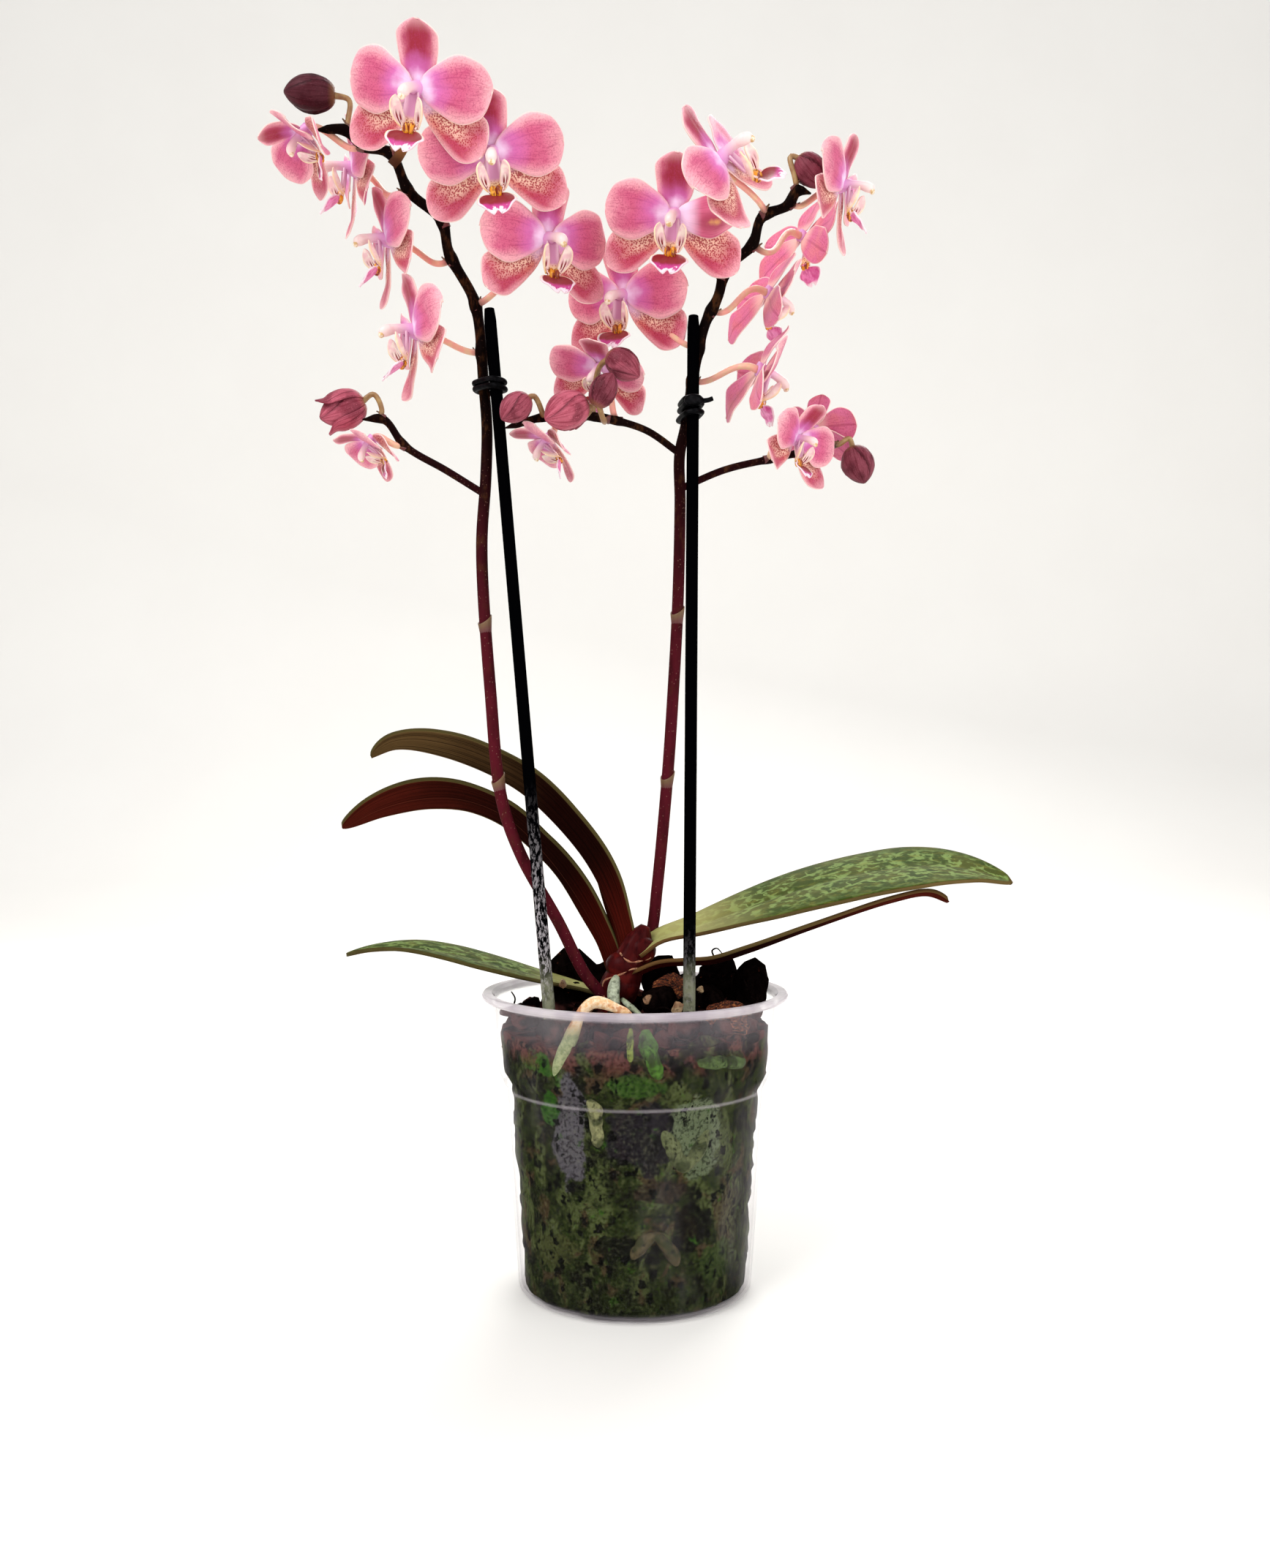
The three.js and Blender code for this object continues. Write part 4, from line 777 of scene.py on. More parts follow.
def stem_finish(name, tints):
    """A stem: near black among the flowers, purple lower down, with pale specks."""
    look = Finish(name, 0.5, Specular_IOR_Level=0.01)
    cloud = look.noise(0.004, 3.0, stretch=(1, 1, 0.25))
    low = look.between(look.height(), 0.21, 0.335, 1, 0)
    look.shade = tints.stem
    look.over(tints.stem_low, look.times(low, look.between(cloud, 0.3, 0.55, 0.55, 1)))
    specks = look.between(look.cells(0.0013), 0.1, 0.18, 1, 0)
    look.over(colour(132, 96, 84), look.times(specks, look.between(look.height(), 0.27, 0.34, 0.65, 0.12)))
    olive = look.between(look.noise(0.003, 4.0, 0.6, stretch=(1, 1, 0.5)), 0.5, 0.72, 0, 0.7)
    look.over(colour(72, 44, 24), look.times(olive, look.between(look.height(), 0.25, 0.3, 0.4, 1)))
    return look.done(cloud, 0.0003)


def bract_finish(name):
    """The papery scales and sheaths on a stem."""
    look = Finish(name, 0.55)
    look.ground(look.v, 0.1, 0.9, colour(88, 34, 34), colour(104, 74, 44))
    return look.done(look.noise(0.001), 0.0002)


def stub_finish(name):
    """A cut side shoot, dried brown towards its end."""
    look = Finish(name, 0.7, Specular_IOR_Level=0.1)
    look.ground(look.v, 0.2, 0.9, colour(66, 38, 22), colour(128, 90, 50))
    return look.done(look.noise(0.001), 0.0002)


def leaf_top_finish(name, tints, mottle):
    """The upper face: olive, with a net of pale flecks that runs along the leaf, and a thin dark margin."""
    look = Finish(name, 0.45, Specular_IOR_Level=0.01)
    look.ground(look.noise(0.012, 3.0), 0.4, 0.62, tints.leaf_green, colour(70, 76, 26))
    drift = look.noise(0.004, 2.0)
    push = look.node("ShaderNodeVectorMath", {0: (0.006, 0.006, 0.006), "Scale": drift}, operation="SCALE")
    bent = look.node("ShaderNodeVectorMath", {0: look.place, 1: push.outputs[0]}, operation="ADD").outputs[0]
    net = look.cells(0.0042, vector=look.stretched(bent, (0.55, 1, 1)), feature="DISTANCE_TO_EDGE")
    flecks = look.times(look.between(net, 0.05, 0.2, 1, 0), look.between(drift, 0.38, 0.55))
    middle = look.between(look.edge(), 0.55, 0.95, 1, 0.25)
    look.over(tints.leaf_silver, look.times(flecks, middle, mottle))
    fine = look.noise(0.0022, 4.0, 0.7, stretch=(0.4, 1, 1))
    look.fade(tints.leaf_fleck, fine, 0.5, 0.66, 0, 0.6 * mottle)
    lines = veins(look, 46, 1.2, 0.1)
    look.fade(colour(74, 78, 36), lines, 0.5, 0.8, 0, 0.3)
    look.fade(colour(168, 162, 104), look.v, 0.1, 0.3, 0.7, 0)
    look.fade(colour(86, 84, 40), look.edge(), 0.0, 0.05, 0.5, 0)
    look.fade(colour(70, 58, 34), look.rim(), 0.965, 0.995, 0, 0.85)
    return look.done(lines, 0.0003, 0.4)


def leaf_under_finish(name, tints, outer_tint):
    """The underside: dark red by the crown, browner outwards, with fine lines along it and painted sheen
    along its side edges.
    """
    look = Finish(name, 0.5, Specular_IOR_Level=0.0)
    lines = veins(look, 60, 0.9, 0.05)
    outer = look.plus(look.v, look.times(look.noise(0.02, 3.0), 0.2))
    look.ground(outer, 0.45, 0.95, tints.leaf_dark, outer_tint)
    look.fade(colour(84, 22, 15), look.v, 0.05, 0.24, 0.75, 0)
    look.fade(colour(12, 5, 4), lines, 0.46, 0.62, 0, 0.75)
    look.fade(colour(120, 66, 50), look.edge(), 0.01, 0.05, 0.3, 0)
    # A pale band along the side edges: painted sheen.
    look.fade(colour(120, 104, 62), look.edge(), 0.94, 0.99, 0, 0.4)
    return look.done(lines, 0.0004, 0.6)


def crown_finish(name, tints):
    """The sheaths: deep red with fine upright lines, painted highlights in broad paler patches, and faint
    pale flecks.
    """
    look = Finish(name, 0.35, Specular_IOR_Level=0.03)
    lines = look.noise(0.0014, 3.0, stretch=(1, 1, 0.12))
    look.ground(lines, 0.42, 0.72, tints.crown, colour(44, 6, 8))
    # Broad paler patches: painted highlights on the sheaths.
    look.fade(colour(100, 26, 22), look.noise(0.006), 0.5, 0.7, 0, 0.6)
    look.fade(colour(140, 70, 60), look.noise(0.004, 4.0, 0.7), 0.62, 0.72, 0, 0.25)
    return look.done(lines, 0.0003)


def bark_finish(name, tints):
    """Broken bark: near black on top, mauve in the band under the rim, with rare red-brown bits that are
    painted highlights.
    """
    look = Finish(name, 0.9, Specular_IOR_Level=0.0)
    grain = look.noise(0.0025, 5.0, 0.65, stretch=(1, 1, 0.5))
    look.ground(grain, 0.35, 0.65, tints.bark, colour(4, 2, 2))
    patch = look.between(look.noise(0.012, 2.0), 0.42, 0.58)
    above = look.between(look.height(), 0.078, 0.088)
    below = look.between(look.height(), 0.1035, 0.1055, 1, 0)
    look.over(colour(90, 52, 48), look.times(patch, above, below, 0.85))
    # Rare red-brown bits: painted highlights.
    highlight_bits = look.between(look.noise(0.003, 4.0, 0.7), 0.66, 0.74)
    look.over(colour(124, 62, 40), look.times(highlight_bits, 0.6))
    return look.done(grain, 0.0014, 0.9)


def fibre_finish(name):
    """A fibrous lump of bark, red-brown with orange strands."""
    look = Finish(name, 0.8, Specular_IOR_Level=0.2)
    strands = look.noise(0.0016, 5.0, 0.75, stretch=(0.5, 1, 1.6), distortion=1.5)
    look.ground(strands, 0.42, 0.56, colour(14, 6, 4), colour(112, 52, 26))
    look.fade(colour(196, 124, 66), strands, 0.56, 0.64)
    return look.done(strands, 0.0016, 0.9)


def film_finish(name, tints):
    """What shows through the wall: wet bark under green film, slate and sage patches with a painted
    reflection in the pale slate one, pale flecks of painted highlight, and black specks.
    """
    look = Finish(name, 0.7, Specular_IOR_Level=0.01)
    cloud = look.noise(0.01, 5.0, 0.65)
    look.ground(cloud, 0.4, 0.54, colour(14, 15, 8), tints.moss)
    look.fade(tints.film, look.noise(0.009, 4.0, 0.6, stretch=(1, 1, 0.6)), 0.5, 0.6, 0, 0.9)
    look.fade(colour(66, 50, 34), look.noise(0.009, 4.0, distortion=0.5), 0.56, 0.64, 0, 0.75)
    spot = look.node("ShaderNodeSeparateXYZ", {0: look.place}).outputs
    front = look.between(spot[1], -0.03, -0.02, 1, 0)
    waver = look.times(look.less(look.noise(0.007, 4.0, 0.6), 0.5), 1.6)
    # The first patch, pale slate, is a painted reflection.
    for (across, up), (half, tall_half), tint in FILM_PATCHES:
        x = look.math("DIVIDE", look.less(spot[0], across * MM), half * MM)
        z = look.math("DIVIDE", look.less(spot[2], up * MM), tall_half * MM)
        away = look.math("SQRT", look.plus(look.times(x, x), look.times(z, z)))
        inside = look.between(look.plus(away, waver), 0.9, 1.1, 0.9, 0)
        look.over(colour(*tint), look.times(inside, front))
    look.fade(colour(48, 84, 20), look.noise(0.005, 5.0, 0.7), 0.6, 0.68, 0, 0.7)
    look.fade(colour(14, 18, 7), look.height(), 0.0, 0.03, 0.5, 0)
    broken = look.between(look.noise(0.009, 3.0), 0.42, 0.5, 0.1, 0.95)
    cover = look.between(look.noise(0.006, 3.0), 0.42, 0.56)
    plum = look.blend(cover, colour(34, 24, 28), colour(88, 50, 46))
    look.over(plum, look.times(look.between(look.height(), 0.085, 0.093), broken))
    grain = look.noise(0.0012, 4.0, 0.7)
    look.fade(colour(8, 9, 5), grain, 0.48, 0.6, 0, 0.7)
    # Pale flecks where the grain is low: painted highlights on the wet film.
    look.fade(colour(96, 100, 66), grain, 0.32, 0.46, 0.3, 0)
    ragged = look.times(look.less(look.noise(0.0014, 3.0), 0.5), 0.9)
    away = look.plus(look.cells(0.0046, vector=look.stretched(look.place, (1, 1, 0.75))), ragged)
    some = look.between(look.noise(0.014), 0.36, 0.44)
    look.over(colour(4, 5, 3), look.times(look.between(away, 0.27, 0.33, 0.95, 0), some))
    return look.done(cloud, 0.001)


def root_finish(name, tint, growth):
    """A root's skin: its tint, darker in places, with some growth on it."""
    look = Finish(name, 0.65, Specular_IOR_Level=0.15)
    skin = look.noise(0.0016, 4.0, 0.6)
    look.ground(skin, 0.35, 0.7, tint, dimmed(tint, 0.45))
    look.fade(growth, look.noise(0.005, 3.0), 0.46, 0.6, 0, 0.8)
    look.fade(dimmed(growth, 0.12), look.noise(0.0022, 4.0, 0.7), 0.56, 0.64, 0, 0.75)
    return look.done(skin, 0.0004, 0.7)


def dry_root_finish(name, tints):
    """Dried cream and orange where it arches over the bark, green where it goes on behind the wall."""
    look = Finish(name, 0.65)
    skin = look.noise(0.0018, 5.0, 0.7)
    patches = look.between(skin, 0.4, 0.62)
    look.shade = tints.dry_root
    look.over(colour(244, 220, 186), patches)
    look.fade(colour(186, 108, 50), look.noise(0.0035, 3.0), 0.52, 0.64, 0, 0.8)
    green = look.blend(patches, colour(150, 156, 112), colour(112, 124, 78))
    look.fade(green, look.height(), 0.1, 0.107, 1, 0)
    return look.done(skin, 0.0005, 0.8)


def stake_finish(name, crust_top):
    """Black plastic, crusted with pale mineral up to crust_top and grey green at its foot."""
    look = Finish(name, 0.5, Specular_IOR_Level=0.0)
    crust = look.between(look.noise(0.0011, 4.0, 0.7, stretch=(1, 1, 0.45)), 0.48, 0.58, 0, 0.8)
    look.shade = colour(2, 2, 3)
    low = look.between(look.height(), crust_top - 0.06, crust_top, 1, 0)
    look.over(colour(168, 162, 166), look.times(crust, low))
    foot = look.between(look.height(), 0.108, 0.128, 0.9, 0)
    look.over(colour(134, 136, 112), look.times(foot, look.between(look.noise(0.003), 0.3, 0.6, 0.4, 1)))
    return look.done(crust, 0.0002, 0.4)


def tie_finish(name):
    """Black plastic wire."""
    look = Finish(name, 0.4, Specular_IOR_Level=0.02)
    look.ground(look.noise(0.002), 0.4, 0.7, colour(4, 4, 5), colour(20, 20, 22))
    return look.done()


def pot_finish(name):
    """Clear plastic with a thin lilac haze in upright streaks, cloudier at the rim, step, base and sides."""
    look = Finish(name, 0.1, IOR=1.4, Specular_IOR_Level=0.35)
    tall = look.noise(0.03, 3.0, 0.6, stretch=(1, 1, 0.3))
    look.ground(tall, 0.35, 0.7, colour(178, 168, 178), colour(222, 214, 218))
    height = look.height()
    step = look.math("ABSOLUTE", look.less(height, 0.0757))
    facing = look.node("ShaderNodeLayerWeight", {"Blend": 0.2}).outputs["Facing"]
    haze = look.plus(
        look.between(tall, 0.52, 0.72, 0.004, 0.032),
        look.between(look.noise(0.0025, 4.0, 0.75), 0.62, 0.75, 0, 0.05),
        look.between(height, 0.09, 0.106, 0, 0.08),
        look.between(height, 0.1062, 0.1078, 0, 0.5),
        look.between(height, 0.0005, 0.004, 0.15, 0),
        look.between(step, 0.0002, 0.0009, 0.14, 0),
        look.between(facing, 0.3, 0.92, 0, 0.6),
    )
    look.tree.links.new(look.math("MINIMUM", haze, 0.9), look.surface.inputs["Alpha"])
    return look.done()


def floor_finish(name, tints):
    """The pale floor of the stage, a little cloudy."""
    look = Finish(name, 0.7)
    look.ground(look.noise(0.15, 3.0), 0.3, 0.7, tints.floor, colour(234, 230, 226), 0, 0.12)
    return look.done()


def deselect():
    bpy.ops.object.select_all(action="DESELECT")


def choose(*pieces):
    deselect()
    for piece in pieces:
        piece.select_set(True)
    bpy.context.view_layer.objects.active = pieces[0]


def wear(piece, *materials):
    """Gives a piece its materials, the first one on all the faces that name no other."""
    piece.data.materials.clear()
    for material in materials:
        piece.data.materials.append(material)


def apply_modifier(piece, kind, **settings):
    modifier = piece.modifiers.new(kind.title(), kind)
    for key, value in settings.items():
        setattr(modifier, key, value)
    choose(piece)
    bpy.ops.object.modifier_apply(modifier=modifier.name)


def in_edit_mode(piece, *steps):
    """Runs edit operators on the whole piece, with everything selected before each of them."""
    choose(piece)
    bpy.ops.object.mode_set(mode="EDIT")
    for step in steps:
        bpy.ops.mesh.select_all(action="SELECT")
        step()
    bpy.ops.object.mode_set(mode="OBJECT")


def outward():
    bpy.ops.mesh.normals_make_consistent(inside=False)


def weld(threshold):
    bpy.ops.mesh.remove_doubles(threshold=threshold)


def close_holes():
    bpy.ops.mesh.fill_holes(sides=0)


def grid(name, across, along, place):
    """A sheet of faces, each corner put where place(u, v) says, with u from -1 to 1 and v from 0 to 1."""
    deselect()
    bpy.ops.mesh.primitive_grid_add(x_subdivisions=across, y_subdivisions=along, size=2)
    piece = bpy.context.object
    piece.name = piece.data.name = name
    for vertex in piece.data.vertices:
        vertex.co = place(vertex.co.x, (vertex.co.y + 1) / 2)
    bpy.ops.object.shade_smooth()
    return piece


def joined(name, pieces):
    """One object from several, with its normals outwards."""
    choose(*pieces)
    if len(pieces) > 1:
        bpy.ops.object.join()
    piece = bpy.context.object
    piece.name = piece.data.name = name
    in_edit_mode(piece, outward)
    return piece


def finish_piece(piece, slot, *nodes):
    """Hangs a piece on the one body, on which everything rides, and hides the nodes that it replaces. The
    slot argument is not used.
    """
    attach(piece, "root")
    if nodes:
        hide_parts(*nodes)


def value_at(stops, share):
    """A smooth value at share through stops of (share, value), with no overshoot."""
    shares = [stop[0] for stop in stops]
    values = [stop[1] for stop in stops]
    if share <= shares[0]:
        return values[0]
    if share >= shares[-1]:
        return values[-1]
    i = next(i for i in range(len(shares) - 1) if share <= shares[i + 1])

    def slope(j):
        if j == 0:
            return (values[1] - values[0]) / (shares[1] - shares[0])
        if j == len(values) - 1:
            return (values[-1] - values[-2]) / (shares[-1] - shares[-2])
        before = (values[j] - values[j - 1]) / (shares[j] - shares[j - 1])
        after = (values[j + 1] - values[j]) / (shares[j + 1] - shares[j])
        return 0 if before * after <= 0 else 2 * before * after / (before + after)

    span = shares[i + 1] - shares[i]
    t = (share - shares[i]) / span
    start = (1 + 2 * t) * (1 - t) ** 2 * values[i] + t * (1 - t) ** 2 * span * slope(i)
    return start + t * t * (3 - 2 * t) * values[i + 1] + t * t * (t - 1) * span * slope(i + 1)


def polar(turn, reach):
    """The place across and back at a turn in radians."""
    return reach * math.cos(turn), reach * math.sin(turn)


class Route:
    """A smooth curve through points, as the frame's stems follow, read by the share of its length."""

    def __init__(self, knots, steps=14):
        row = [knots[0] * 2 - knots[1], *knots, knots[-1] * 2 - knots[-2]]
        self.points = []
        for i in range(1, len(row) - 2):
            for step in range(steps):
                self.points.append(self.span_point(row[i - 1 : i + 3], step / steps))
        self.points.append(knots[-1].copy())
        self.lengths = [0.0]
        for a, b in zip(self.points, self.points[1:]):
            self.lengths.append(self.lengths[-1] + (b - a).length)

    @staticmethod
    def span_point(corners, t):
        p0, p1, p2, p3 = corners
        d0, d1, d2 = (max((b - a).length, 1e-9) ** 0.5 for a, b in ((p0, p1), (p1, p2), (p2, p3)))
        m1 = ((p1 - p0) / d0 - (p2 - p0) / (d0 + d1) + (p2 - p1) / d1) * d1
        m2 = ((p2 - p1) / d1 - (p3 - p1) / (d1 + d2) + (p3 - p2) / d2) * d1
        a = p1 * (1 + 2 * t) * (1 - t) ** 2 + m1 * t * (1 - t) ** 2
        return a + p2 * t * t * (3 - 2 * t) + m2 * t * t * (t - 1)

    def at(self, share):
        target = min(max(share, 0), 1) * self.lengths[-1]
        low, high = 0, len(self.lengths) - 1
        while high - low > 1:
            middle = (low + high) // 2
            if self.lengths[middle] <= target:
                low = middle
            else:
                high = middle
        span = max(self.lengths[high] - self.lengths[low], 1e-12)
        return self.points[low].lerp(self.points[high], (target - self.lengths[low]) / span)

    def heading(self, share):
        return (self.at(share + 0.01) - self.at(share - 0.01)).normalized()

    def nearest(self, target):
        return min(self.points, key=lambda spot: (spot - target).length)

    def share_of(self, spot):
        i = min(range(len(self.points)), key=lambda k: (self.points[k] - spot).length)
        return self.lengths[i] / self.lengths[-1]


def route_of(path):
    """A route through points in millimetres."""
    return Route([mm(*point) for point in path])


def tube(name, route, radius, sides, rings, material, squeeze=1.0):
    """A closed round bar along a route. radius(share, turn) is in metres."""
    frames = []
    side = route.heading(0).orthogonal().normalized()
    for i in range(rings + 1):
        heading = route.heading(i / rings)
        side = (side - heading * side.dot(heading)).normalized()
        frames.append((route.at(i / rings), side.copy(), heading.cross(side)))

    def place(u, v):
        centre, across, over = frames[round(v * rings)]
        turn = math.pi * (u + 1)
        size = radius(v, turn)
        return centre + across * math.cos(turn) * size + over * math.sin(turn) * size * squeeze

    piece = grid(name, sides, rings, place)
    in_edit_mode(piece, lambda: weld(1e-6), close_holes, outward)
    wear(piece, material)
    return piece


def sheet(name, across, along, place, thickness, *materials, offset=0.0):
    """A grid with a thickness in metres, whose second material is on its back."""
    piece = grid(name, across, along, place)
    wear(piece, *materials)
    back = len(materials) - 1
    apply_modifier(piece, "SOLIDIFY", thickness=thickness, offset=offset, material_offset=back)
    return piece


def ripple(spot, size, amount, seed=0.0):
    """A smooth random number up to amount, that changes over size metres."""
    return amount * noise.noise(spot / size + Vector((seed * 7.1, seed * 3.3, seed * 5.7)))


def tepal(name, rows, dome, wave, thickness, front, back):
    """A petal or sepal in its own axes: round-tipped, domed, with a groove on its middle line."""
    upper = [(row[0], row[1] ** 2) for row in rows]
    lower = [(row[0], row[2] ** 2) for row in rows]
    upper_at = [(row[0], row[3]) for row in rows]
    lower_at = [(row[0], row[4]) for row in rows]
    start, end = rows[0][0], rows[-1][0]

    def place(u, v):
        along = start + (end - start) * (1 - (1 - v) ** 1.5)
        half = math.sqrt(max(value_at(lower if u > 0 else upper, along), 0))
        tilt = (value_at(upper_at, along) * (1 - u) + value_at(lower_at, along) * (1 + u)) / 2
        crown = dome * (1 - u * u) * math.sin(math.pi * min(v * 1.05, 1))
        groove = -0.35 * math.exp(-((u * half / 0.9) ** 2)) * (1 - v) * min(v * 6, 1)
        frill = wave * abs(u) ** 3 * math.sin(7.3 * v + 2.1 * u) * v
        return mm(u * half, along, tilt + crown + groove + frill)

    return sheet(name, 18, 22, place, thickness, front, back)


def lip_lobe(name, above, below):
    """The middle lobe: a lens that runs forward and down, with sharp corners and a notched, wavy front."""
    middle_y = [(0, -9.8), (0.25, -10.9), (0.5, -12.2), (0.75, -13.8), (1, -15.4)]
    middle_z = [(0, 4.8), (0.25, 7.2), (0.5, 9.8), (0.75, 12.2), (1, 14.2)]
    width = [
        (0, 1.6), (0.14, 1.9), (0.3, 4.6), (0.44, 6.9), (0.52, 7.1), (0.66, 6.0), (0.82, 4.2), (1, 1.6),
    ]

    def place(u, v):
        half = value_at(width, v)
        curl = 1.0 * abs(u) ** 2.4 * math.sin(math.pi * min(v * 1.2, 1))
        notch = 1.5 * math.exp(-((u / 0.45) ** 2)) * max(v - 0.8, 0) / 0.2
        frill = 0.35 * abs(u) * math.sin(15 * v + 4 * u)
        y = value_at(middle_y, v) + curl + frill + 0.5 * notch
        return mm(u * half, y, value_at(middle_z, v) + 0.4 * curl - notch)

    return sheet(name, 18, 22, place, LIP_THICKNESS * MM, below, above)


def lip_side(name, way, outside, inside):
    """A side lobe: an upright wing beside the column, cupped inwards, its front edge turned in."""
    foot = Vector((2.4 * way, -9.4, 5.2))
    tip = Vector((4.0 * way, 0.9, 8.6))
    across = Vector((0.8 * way, 0.05, 0.6)).normalized()
    out = Vector((0.6 * way, 0.1, -0.8)).normalized()
    width = [(0, 0.5), (0.18, 1.6), (0.45, 2.2), (0.75, 1.9), (0.92, 1.1), (1, 0.2)]

    def place(u, v):
        half = value_at(width, v)
        bow = 1.6 * math.sin(math.pi * v)
        cup = -1.5 * u * u * math.sin(math.pi * min(v * 1.1, 1))
        spot = foot.lerp(tip, v) + across * (u * half + bow * 0.7) + out * (cup + 0.6 * bow)
        return spot * MM

    faces = (inside, outside) if way > 0 else (outside, inside)
    return sheet(name, 12, 16, place, SIDE_LOBE_THICKNESS * MM, *faces)


def claw(name, material):
    """The lip's trough between the column and the callus."""
    centre = route_of([(0, 1.6, 2.6), (0, -3.0, 3.2), (0, -7.0, 4.2), (0, -10.2, 5.6)])
    width = [(0, 2.2), (0.4, 2.6), (0.75, 3.2), (1, 2.2)]

    def place(u, v):
        lift = 1.5 * MM * u * u
        return centre.at(v) + Vector((u * value_at(width, v) * MM, 0.3 * lift, lift))

    return sheet(name, 10, 12, place, LIP_THICKNESS * MM, material)


def ball(name, centre, size, material):
    """A rounded lump from a sphere, with its middle and half sizes in millimetres."""
    deselect()
    bpy.ops.mesh.primitive_uv_sphere_add(segments=20, ring_count=12, radius=1)
    piece = bpy.context.object
    piece.name = piece.data.name = name
    for vertex in piece.data.vertices:
        vertex.co = mm(*(c + s * x for c, s, x in zip(centre, size, vertex.co)))
    bpy.ops.object.shade_smooth()
    wear(piece, material)
    return piece


def bloom_column(name, material):
    """The column: a smooth neck that swells into a round head over the lip."""
    route = route_of([(0, 2.2, -2), (0, 3.3, 2.6), (0, 3.4, 7), (0, 2.7, 10.6), (0, 1.4, 13.4)])
    sizes = [(0, 3.2), (0.2, 2.7), (0.45, 1.8), (0.62, 1.85), (0.8, 2.2), (0.92, 1.95), (1, 1.0)]
    return tube(name, route, lambda share, turn: value_at(sizes, share) * MM, 18, 18, material, 0.9)


def bloom_forms(sizes, tints):
    """The parts of a bloom, modelled once. Each bloom gets its own copies."""
    front = petal_finish("petal_front", tints)
    odd = odd_finish("odd_petal", tints)
    deep = petal_finish("top_sepal_front", tints, deep=True)
    spotted = petal_finish("side_sepal_front", tints, spotted=True)
    back = back_finish("petal_back", tints)
    outside = side_lobe_finish("lip_side_lobe")
    inside = side_lobe_inner_finish("lip_side_lobe_inside", tints)
    callus = callus_finish("lip_callus", tints)
    thick = sizes.petal_thickness
    return {
        "dorsal": tepal("form_dorsal", DORSAL, 0.9, 0.5, thick, deep, back),
        "petal": tepal("form_petal", PETAL, 1.1, 0.8, thick, front, back),
        "odd_petal": tepal("form_odd_petal", ODD_PETAL, 2.2, 1.0, thick, odd, back),
        "lateral": tepal("form_lateral", LATERAL, 1.0, 0.7, thick, spotted, back),
        "heart": joined("form_heart", [
            lip_lobe("form_lobe", lip_finish("lip_lobe", tints), lip_under_finish("lip_under")),
            lip_side("form_side_left", -1, outside, inside),
            lip_side("form_side_right", 1, outside, inside),
            claw("form_claw", claw_finish("lip_claw", tints)),
            ball("form_callus_left", (-1.05, -9.4, 6.2), (1.35, 2.2, 1.5), callus),
            ball("form_callus_right", (1.05, -9.4, 6.2), (1.35, 2.2, 1.5), callus),
            bloom_column("form_column", column_finish("column", tints)),
            ball("form_cap", (0, 1.0, 12.9), (1.3, 1.2, 1.1), cap_finish("anther_cap")),
        ]),
    }


def placed_copy(form, matrix, seed, amount):
    """A copy of a form with its own soft buckles, moved by matrix."""
    piece = form.copy()
    piece.data = form.data.copy()
    bpy.context.collection.objects.link(piece)
    if amount:
        for vertex in piece.data.vertices:
            flat = Vector((vertex.co.x, vertex.co.y, 0))
            reach = min(flat.length / (20 * MM), 1)
            vertex.co.z += ripple(flat, 9 * MM, amount * reach, seed)
            vertex.co.x += ripple(flat, 12 * MM, 0.5 * amount * reach, seed + 11)
    piece.data.transform(matrix)
    return piece


def bloom_matrix(spec):
    """From a bloom's own axes to the plant's."""
    forward = Vector(spec["face"]).normalized()
    right = Vector(spec["top"]).cross(forward).normalized()
    up = forward.cross(right)
    turn = Matrix((right, up, forward)).transposed().to_4x4()
    size = spec.get("size", 1)
    return Matrix.Translation(mm(*spec["at"])) @ turn @ Matrix.Scale(size, 4)


def tepal_matrix(part, lean):
    """From a tepal's own axes to its bloom's: leaned forward, turned from the top and set on its foot."""
    turn = math.radians(part["turn"])
    side = Vector((math.cos(turn), -math.sin(turn), 0))
    along = Vector((math.sin(turn), math.cos(turn), 0))
    facing = Matrix((side, along, (0, 0, 1))).transposed().to_4x4()
    tilt = Matrix.Rotation(math.radians(lean * part["lean"]), 4, "X")
    mirror = Matrix.Diagonal((part["way"], 1, 1, 1))
    return mirror @ Matrix.Translation(mm(*part["start"])) @ facing @ tilt


def stem_routes(side):
    """The middle lines of a stem and its branches."""
    spec = SPIKES[side]
    return [route_of(path) for path in (spec["stem"], *spec["branches"])]


def stem_foot(side, leave):
    """The place on a stem's middle line where the stalk that passes through leave begins."""
    spots = [route.nearest(leave) for route in stem_routes(side)]
    return min(spots, key=lambda spot: (spot - leave).length)


def stalk(name, points, radius, material):
    """A flower stalk, thicker where it meets its flower at share 0."""
    route = Route(points)

    def size(share, turn):
        swell = 1 + 0.25 * max(1 - share * 4, 0) + 0.15 * max(share - 0.88, 0) / 0.12
        return radius * swell * (0.94 + 0.06 * math.cos(3 * turn))

    return tube(name, route, size, 12, 24, material)


def pedicel_points(start, back, bow, foot, leave):
    """Points of a stalk that leaves the flower backwards and meets the stem from the side of leave."""
    away = (leave - foot).normalized()
    span = (foot - start).length
    handles = (start, start + back * bow * span, foot + away * 0.4 * span, foot)
    points = []
    for i in range(9):
        t = i / 8
        shares = ((1 - t) ** 3, 3 * t * (1 - t) ** 2, 3 * t * t * (1 - t), t**3)
        points.append(sum((handle * share for handle, share in zip(handles, shares)), Vector()))
    return points


